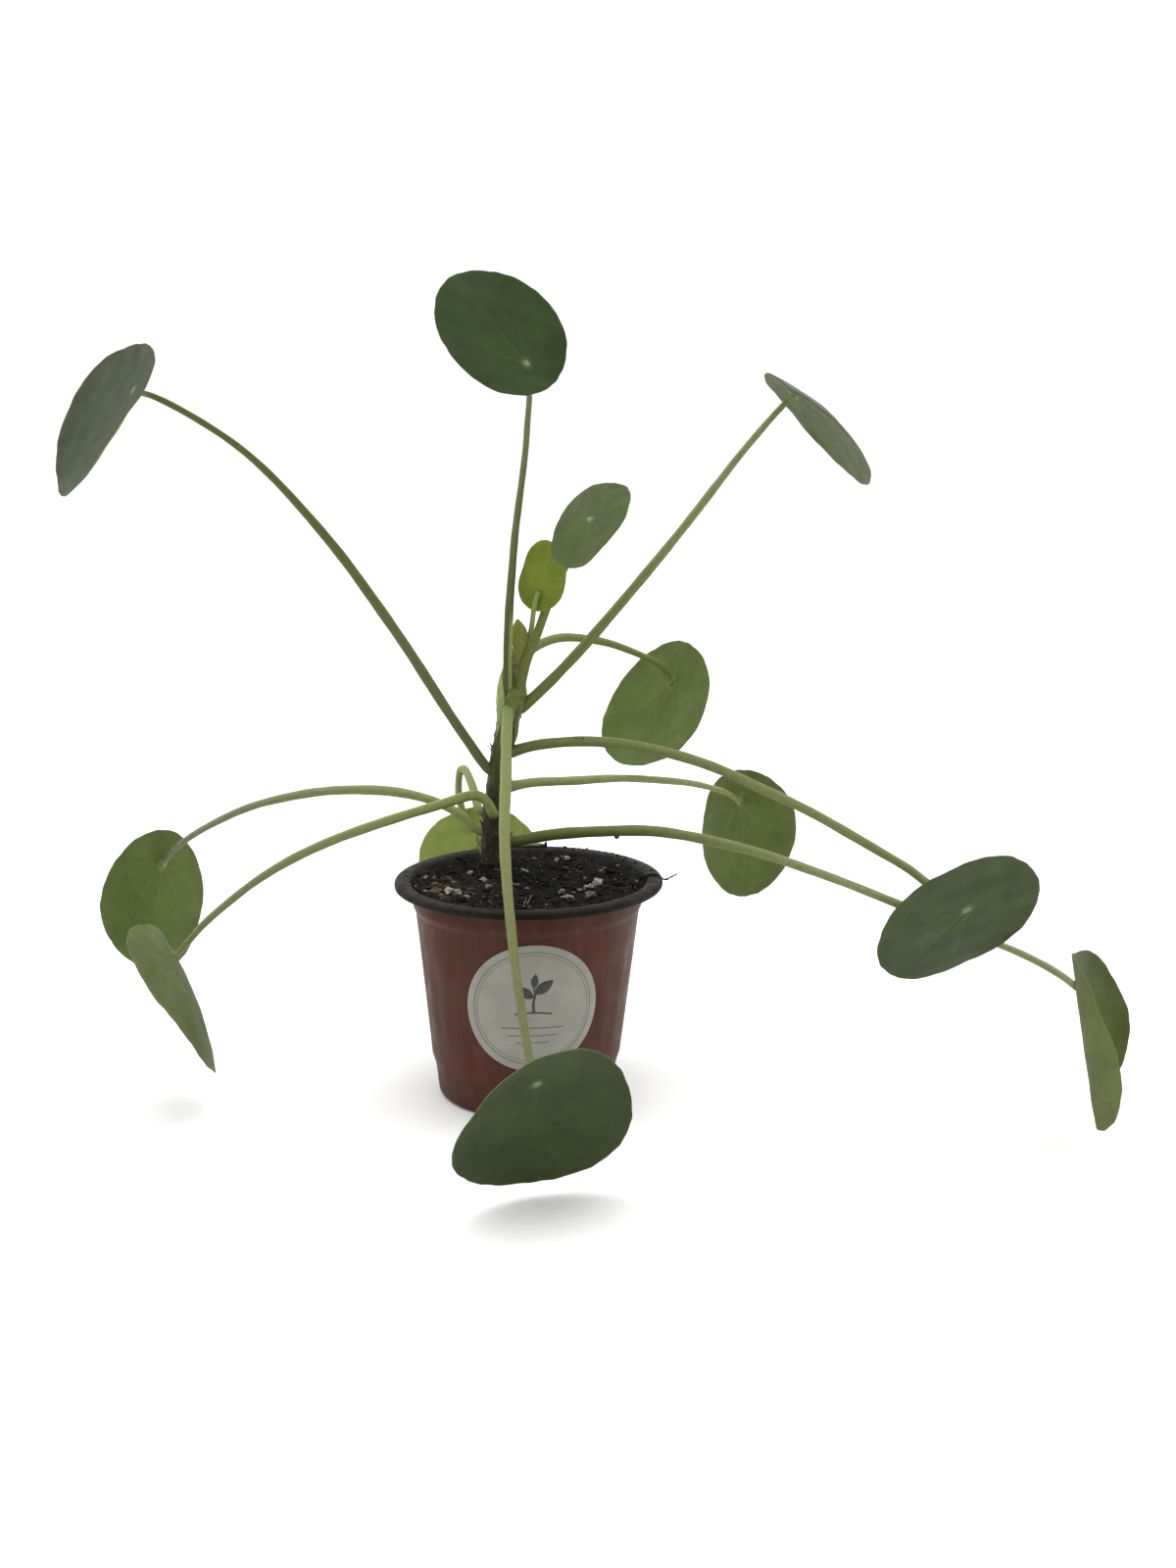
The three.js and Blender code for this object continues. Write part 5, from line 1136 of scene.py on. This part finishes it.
def mix_details():
    rnd = random.Random(77)
    chips = Pile()
    for i in range(620):
        r, a = 42.4 * math.sqrt(rnd.random()), rnd.uniform(0, 2 * math.pi)
        x, y = r * math.cos(a), r * math.sin(a)
        if near_stem(x, y):
            continue
        warm = math.hypot((x + 24) / 17, (y + 6) / 13) < 1.05
        size = rnd.choice((0.45, 0.6, 0.8, 1.1, 1.5)) * rnd.uniform(0.8, 1.2)
        tone = rnd.choice(((0.0032, 0.0032, 0.0026), (0.0065, 0.0060, 0.0046), (0.011, 0.0095, 0.0070), (0.0045, 0.0045, 0.0036)))
        if warm and rnd.random() < 0.6:
            tone = rnd.choice(((0.038, 0.0255, 0.0160), (0.056, 0.039, 0.0250), (0.028, 0.0185, 0.0120), (0.085, 0.066, 0.045)))
        elif rnd.random() < 0.06:
            tone = (0.06, 0.048, 0.034)
        v, f = lump(rnd, (x, y, soil_fine(x, y) + size * 0.15), size, (rnd.uniform(0.9, 1.9), rnd.uniform(0.5, 1.0), rnd.uniform(0.3, 0.7)), 1, 0.35)
        chips.add(v, f, tint=vec(tone))
    # crumbs of mix caught on the lip
    for i in range(46):
        a = rnd.uniform(0, 2 * math.pi)
        if i < 14:
            a = math.radians(rnd.uniform(20, 75))
        r = rnd.uniform(44.6, 48.6)
        zl = POT_H - 0.08 * (r - 47.2) ** 2 - (0.15 if r < 45.6 else 0.0)
        size = rnd.uniform(0.18, 0.48) if i > 5 else rnd.uniform(0.5, 0.8)
        v, f = lump(rnd, (r * math.cos(a), r * math.sin(a), zl + size * 0.25), size, (1.2, 0.9, 0.6), 1, 0.3)
        chips.add(v, f, tint=vec((0.020, 0.017, 0.013)))
    chips.make("mix_chips", [M_BITS], slot="potting_mix", smooth_shade=False)

    fibres = Pile()
    for i in range(230):
        r, a = 38.5 * math.sqrt(rnd.random()), rnd.uniform(0, 2 * math.pi)
        x, y = r * math.cos(a), r * math.sin(a)
        if i < 110:
            x, y = rnd.gauss(-24, 8), rnd.gauss(-6, 7)
            if math.hypot(x, y) > 38:
                continue
        if near_stem(x, y, 2):
            continue
        length, h = rnd.uniform(2.0, 7.5), rnd.uniform(0, 2 * math.pi)
        bend = rnd.uniform(-0.25, 0.25)
        pts, px, py = [], x, y
        steps = 6
        for k in range(steps + 1):
            if math.hypot(px, py) > 42.2:
                break
            rise = (0.25 + (rnd.uniform(0, 0.8) if k in (2, 3) else 0.0))
            pts.append((px, py, soil_fine(px, py) + rise))
            px += math.cos(h) * length / steps
            py += math.sin(h) * length / steps
            h += bend + rnd.uniform(-0.3, 0.3)
        if len(pts) < 4:
            continue
        line, q = spline(pts, 0.7)
        rr = rnd.uniform(0.07, 0.20)
        v, f, st, an = tube(line, rr * (1 - 0.5 * q / q[-1]), 6)
        tone = rnd.choice(((0.030, 0.020, 0.013), (0.055, 0.038, 0.025), (0.016, 0.012, 0.009), (0.085, 0.065, 0.046)) if i < 110 else ((0.014, 0.012, 0.009), (0.026, 0.021, 0.015), (0.010, 0.009, 0.007), (0.040, 0.034, 0.026)))
        fibres.add(v, f, tint=vec(tone))
    # the pale fibre at the front and the twig sticking out over the lip
    for pts, r0, r1, tone in [([(0.2, -27.0, 79.9), (1.0, -26.2, 81.2), (1.9, -25.4, 83.0)], 0.24, 0.12, (0.36, 0.33, 0.24)),
                              ([(-0.9, -27.4, 79.9), (-0.3, -26.9, 81.0), (0.1, -26.5, 82.2)], 0.22, 0.12, (0.30, 0.27, 0.20)),
                              ([(43.6, 1.6, 82.8), (45.6, 1.6, 83.6), (47.4, 1.4, 83.7), (49.0, 0.8, 83.3), (50.5, 0.1, 82.2), (51.6, -0.4, 82.2), (53.4, -1.1, 83.3), (55.6, -1.9, 84.7)], 0.46, 0.26, (0.030, 0.027, 0.021)),
                              ([(51.0, -0.2, 82.0), (52.6, -1.2, 82.2), (54.0, -1.8, 82.9)], 0.16, 0.08, (0.06, 0.055, 0.04))]:
        line, q = spline(pts, 0.5)
        v, f, st, an = tube(line, (r0 + (r1 - r0) * q / q[-1]) * (1 + 0.15 * np.sin(q * 2.3)), 8)
        fibres.add(v, f, tint=vec(tone))
    fibres.make("mix_fibres", [M_BITS], slot="potting_mix")

    # perlite: x, y, half size, brightness
    spots = [(-39.4, 2.3, 0.85, 0.75), (-36.0, 3.2, 0.60, 0.45), (-29.1, -13.8, 1.75, 1.0), (-25.9, -14.1, 1.25, 0.95), (-22.9, 9.5, 1.00, 0.62), (-17.2, 2.6, 1.15, 0.85),
             (-14.7, -7.2, 0.85, 0.55), (-21.8, -20.7, 1.05, 0.50), (-34.9, -6.1, 0.65, 0.50), (-36.9, -19.3, 0.50, 0.75), (-41.6, -9.2, 0.45, 0.70), (-28.6, 1.8, 0.80, 0.32),
             (-11.2, -18.1, 0.60, 0.50), (-2.0, 12.5, 1.00, 0.72), (-4.0, -2.5, 0.75, 0.55), (-6.2, 0.2, 0.55, 0.50), (-0.5, -8.5, 0.65, 0.60), (25.8, 0.9, 1.85, 0.95), (23.6, -3.4, 1.0, 0.70),
             (22.4, -5.8, 1.05, 0.70), (22.8, -20.7, 1.35, 0.45), (24.4, -18.6, 0.8, 0.55), (14.6, -18.9, 1.20, 0.70), (12.7, -15.7, 1.10, 0.55), (16.2, -19.6, 0.7, 0.75), (19.2, -10.9, 0.60, 0.60),
             (13.9, 32.4, 1.15, 0.85), (10.0, 33.7, 0.90, 0.72), (12.2, 34.6, 0.55, 0.60), (28.6, 23.4, 0.70, 0.50), (32.0, 20.6, 0.65, 0.50), (33.9, 24.0, 0.60, 0.45), (27.0, 17.4, 0.80, 0.50),
             (40.6, -2.9, 0.60, 0.35), (-33.6, -4.6, 0.45, 0.60), (-31.6, -19.6, 0.50, 0.55), (-20.2, -12.8, 0.50, 0.55), (17.0, -14.0, 0.45, 0.60), (21.0, 3.6, 0.50, 0.45), (30.8, -3.4, 0.45, 0.40)]
    per = Pile()
    for x, y, s, b in spots:
        r = math.hypot(x, y)
        if r > 42.6:
            x, y = x * 42.6 / r, y * 42.6 / r
        v, f = lump(rnd, (x, y, soil_fine(x, y) + s * 0.45), s * 1.08, (rnd.uniform(1.0, 1.5), rnd.uniform(0.7, 1.05), rnd.uniform(0.5, 0.8)), 3, 0.46)
        per.add(v, f, tint=vec((0.40, 0.385, 0.32)) * b)
    for i in range(120):
        r, a = 39.5 * math.sqrt(rnd.random()), rnd.uniform(0, 2 * math.pi)
        x, y = r * math.cos(a), r * math.sin(a)
        if near_stem(x, y, 3):
            continue
        big = y > 24 and rnd.random() < 0.35
        s = rnd.uniform(0.8, 1.5) if big else rnd.uniform(0.18, 0.42)
        b = rnd.uniform(0.35, 0.8) if not big else rnd.uniform(0.6, 0.95)
        if big and (math.hypot(x - 10, y - 38) < 16):
            continue
        v, f = lump(rnd, (x, y, soil_fine(x, y) + s * 0.4), s, (rnd.uniform(1.0, 1.4), rnd.uniform(0.7, 1.0), rnd.uniform(0.5, 0.9)), 2, 0.38)
        per.add(v, f, tint=vec((0.32, 0.305, 0.26)) * b)
    per.make("perlite", [M_PERLITE], slot="potting_mix")


mix_details()


# ------------------------------------------------------------------ label
SLOPE = math.atan((wall_r(60) - wall_r(20)) / 40)


def on_wall(s, h, lift):
    s, h, lift = np.broadcast_arrays(vec(s), vec(h), vec(lift))
    z = LABEL_Z + h * math.cos(SLOPE)
    r0 = STEP_R + (WALL_TOP_R - SHOULDER_OUT - STEP_R) * (z - STEP_Z) / (SHOULDER_Z - STEP_Z)
    a = -math.pi / 2 + LABEL_TURN + 0.0246 + s / r0
    r = r0 + lift
    out = np.stack([r * np.cos(a), r * np.sin(a), z - lift * math.sin(SLOPE)], -1)
    return lean(out.reshape(-1, 3)).reshape(out.shape)


def label():
    n = 160
    a = np.linspace(0, 2 * math.pi, n, endpoint=False)
    rings = [0.08, 0.2, 0.32, 0.44, 0.56, 0.68, 0.8, 0.9, 0.965]
    wave = 0.05 * np.sin(3 * a + 1.0) + 0.04 * np.sin(8 * a)
    rows = [(s, 0.36 + 0 * a) for s in rings] + [(0.992, 0.35 + 0.3 * wave), (1.0, 0.27 + wave * 0.5), (1.0, 0.12 + 0 * a)] + [(s, 0.08 + 0 * a) for s in rings[::-1]]
    v = [on_wall(np.array([0.0]), np.array([0.0]), 0.36)]
    for s, lift in rows:
        v.append(on_wall(s * LABEL_R * np.cos(a), s * LABEL_R * np.sin(a), lift))
    v.append(on_wall(np.array([0.0]), np.array([0.0]), 0.08))
    v = np.vstack(v)
    idx = lambda row, k: 1 + row * n + k % n
    f = [[0, idx(0, k), idx(0, k + 1)] for k in range(n)]
    for row in range(len(rows) - 1):
        f += [[idx(row, k), idx(row + 1, k), idx(row + 1, k + 1), idx(row, k + 1)] for k in range(n)]
    f += [[len(v) - 1, idx(len(rows) - 1, k + 1), idx(len(rows) - 1, k)] for k in range(n)]
    make("label_sticker", v, f, [M_PAPER], slot="label_paper", replaces=["label"])


label()


def ink_grid(pile, S, H, lo=0.33, hi=0.40):
    """A strip given by grids of (s, h) on the label, as a thin closed solid."""
    nu, nv = S.shape
    top, low = on_wall(S, H, hi).reshape(-1, 3), on_wall(S, H, lo).reshape(-1, 3)
    o = nu * nv
    f = []
    for i in range(nu - 1):
        for j in range(nv - 1):
            a, b, c, d = i * nv + j, i * nv + j + 1, (i + 1) * nv + j + 1, (i + 1) * nv + j
            f += [[a, b, c, d], [o + a, o + d, o + c, o + b]]
    for i in range(nu - 1):
        a, d = i * nv, (i + 1) * nv
        f += [[a, d, o + d, o + a]]
        a, d = i * nv + nv - 1, (i + 1) * nv + nv - 1
        f += [[d, a, o + a, o + d]]
    for j in range(nv - 1):
        f += [[j + 1, j, o + j, o + j + 1]]
        a = (nu - 1) * nv + j
        f += [[a, a + 1, o + a + 1, o + a]]
    pile.add(np.vstack([top, low]), f)


def ring(pile, r0, r1, a0=0.0, a1=2 * math.pi, n=140):
    a = np.linspace(a0, a1, n)[:, None]
    r = np.array([r1, r0])[None, :]
    ink_grid(pile, r * np.cos(a), r * np.sin(a))


def stroke(pile, pts, width, n=24, taper=(1.0, 1.0)):
    line, q = spline([(x, y, 0.0) for x, y in pts], max(0.3, sum(math.dist(a, b) for a, b in zip(pts, pts[1:])) / n))
    t = unit(np.gradient(line, axis=0))
    w = width / 2 * (taper[0] + (taper[1] - taper[0]) * q / q[-1])
    S = np.stack([line[:, 0] - t[:, 1] * w, line[:, 0] + t[:, 1] * w], -1)
    H = np.stack([line[:, 1] + t[:, 0] * w, line[:, 1] - t[:, 0] * w], -1)
    ink_grid(pile, S, H)


def leaf_mark(pile, x, y, angle, length, width):
    u = np.linspace(0.02, 0.98, 15)[:, None]
    w = width * np.sin(math.pi * u) ** 0.8 * (1 - 0.25 * u)
    vv = np.array([1.0, 0.33, -0.33, -1.0])[None, :]
    lx, ly = u * length + 0 * vv, w * vv / 2
    c, s = math.cos(angle), math.sin(angle)
    ink_grid(pile, x + lx * c - ly * s, y + lx * s + ly * c)


ink, soft = Pile(), Pile()
ring(soft, 21.6, 22.0)
ring(soft, 20.5, 20.7)
# a small sprout with two leaves over a short ground line, and three blank ruled lines
stroke(ink, [(0.3, -1.5), (0.1, 2.0), (0.6, 5.2), (0.2, 8.4)], 0.9, taper=(1.2, 0.7))
leaf_mark(ink, 0.4, 5.6, math.radians(38), 8.6, 4.6)
leaf_mark(ink, 0.2, 4.2, math.radians(146), 7.6, 4.2)
leaf_mark(ink, 0.2, 8.0, math.radians(84), 5.6, 3.0)
stroke(ink, [(-6.5, -2.2), (-2.0, -1.6), (2.4, -1.6), (6.8, -2.2)], 0.6)
stroke(soft, [(-11.0, -7.6), (0.0, -7.6), (11.0, -7.6)], 0.55)
stroke(soft, [(-9.0, -10.6), (0.0, -10.6), (9.0, -10.6)], 0.45)
stroke(soft, [(-6.0, -13.4), (0.0, -13.4), (6.0, -13.4)], 0.45)
ink.make("label_sprout_mark", [M_INK], slot="label_paper")
soft.make("label_ruled_marks", [M_INK_SOFT], slot="label_paper")


# ------------------------------------------------------------------ stage and light
def stage_floor():
    me = bpy.data.meshes.new("floor")
    s = 6.0
    me.from_pydata([(-s, -s, 0), (s, -s, 0), (s, s, 0), (-s, s, 0)], [], [(0, 1, 2, 3)])
    m = Mat("floor_pale")
    m.done(m.mix(m.ramp(m.noise(300, 2), 0.3, 0.7), (0.90, 0.90, 0.90), (0.92, 0.92, 0.92)), 0.9, spec=0.1)
    me.materials.append(m.m)
    ob = bpy.data.objects.new("floor", me)
    scene.collection.objects.link(ob)


stage_floor()

world = bpy.data.worlds.new("studio")
scene.world = world
world.use_nodes = True
wt = world.node_tree
wt.nodes.clear()
w_out, w_bg = wt.nodes.new("ShaderNodeOutputWorld"), wt.nodes.new("ShaderNodeBackground")
w_tc, w_sep, w_map = wt.nodes.new("ShaderNodeTexCoord"), wt.nodes.new("ShaderNodeSeparateXYZ"), wt.nodes.new("ShaderNodeMapRange")
wt.links.new(w_tc.outputs["Generated"], w_sep.inputs[0])
wt.links.new(w_sep.outputs["Y"], w_map.inputs[0])
w_map.inputs[1].default_value, w_map.inputs[2].default_value = -0.85, 0.30
w_map.inputs[3].default_value, w_map.inputs[4].default_value = 0.26, 1.08
w_up, w_add = wt.nodes.new("ShaderNodeMapRange"), wt.nodes.new("ShaderNodeMath")
wt.links.new(w_sep.outputs["Z"], w_up.inputs[0])
w_up.inputs[1].default_value, w_up.inputs[2].default_value = 0.25, 1.0
w_up.inputs[3].default_value, w_up.inputs[4].default_value = 0.0, 1.3
wt.links.new(w_map.outputs[0], w_add.inputs[0])
wt.links.new(w_up.outputs[0], w_add.inputs[1])
w_bg.inputs[0].default_value = (1.0, 1.0, 1.0, 1.0)
wt.links.new(w_add.outputs[0], w_bg.inputs[1])
wt.links.new(w_bg.outputs[0], w_out.inputs[0])


def softbox(name, at, aim, size, watts):
    d = bpy.data.lights.new(name, "AREA")
    d.shape, d.size, d.size_y, d.energy = "RECTANGLE", size[0], size[1], watts
    ob = bpy.data.objects.new(name, d)
    scene.collection.objects.link(ob)
    ob.location = at
    ob.rotation_euler = (Vector(aim) - Vector(at)).to_track_quat("-Z", "Y").to_euler()
    ob.visible_camera = False


softbox("softbox_top", (0.1, 0.5, 1.7), (0.0, 0.0, 0.1), (1.6, 1.6), 6.0)
softbox("softbox_left", (-1.5, 0.2, 0.45), (0.0, 0.0, 0.08), (0.7, 0.9), 5.0)
softbox("softbox_right", (1.5, 0.2, 0.45), (0.0, 0.0, 0.08), (0.7, 0.9), 3.0)

scene.view_settings.view_transform = "Standard"
scene.view_settings.look = "None"
scene.view_settings.exposure = 0.0
scene.view_settings.gamma = 1.0
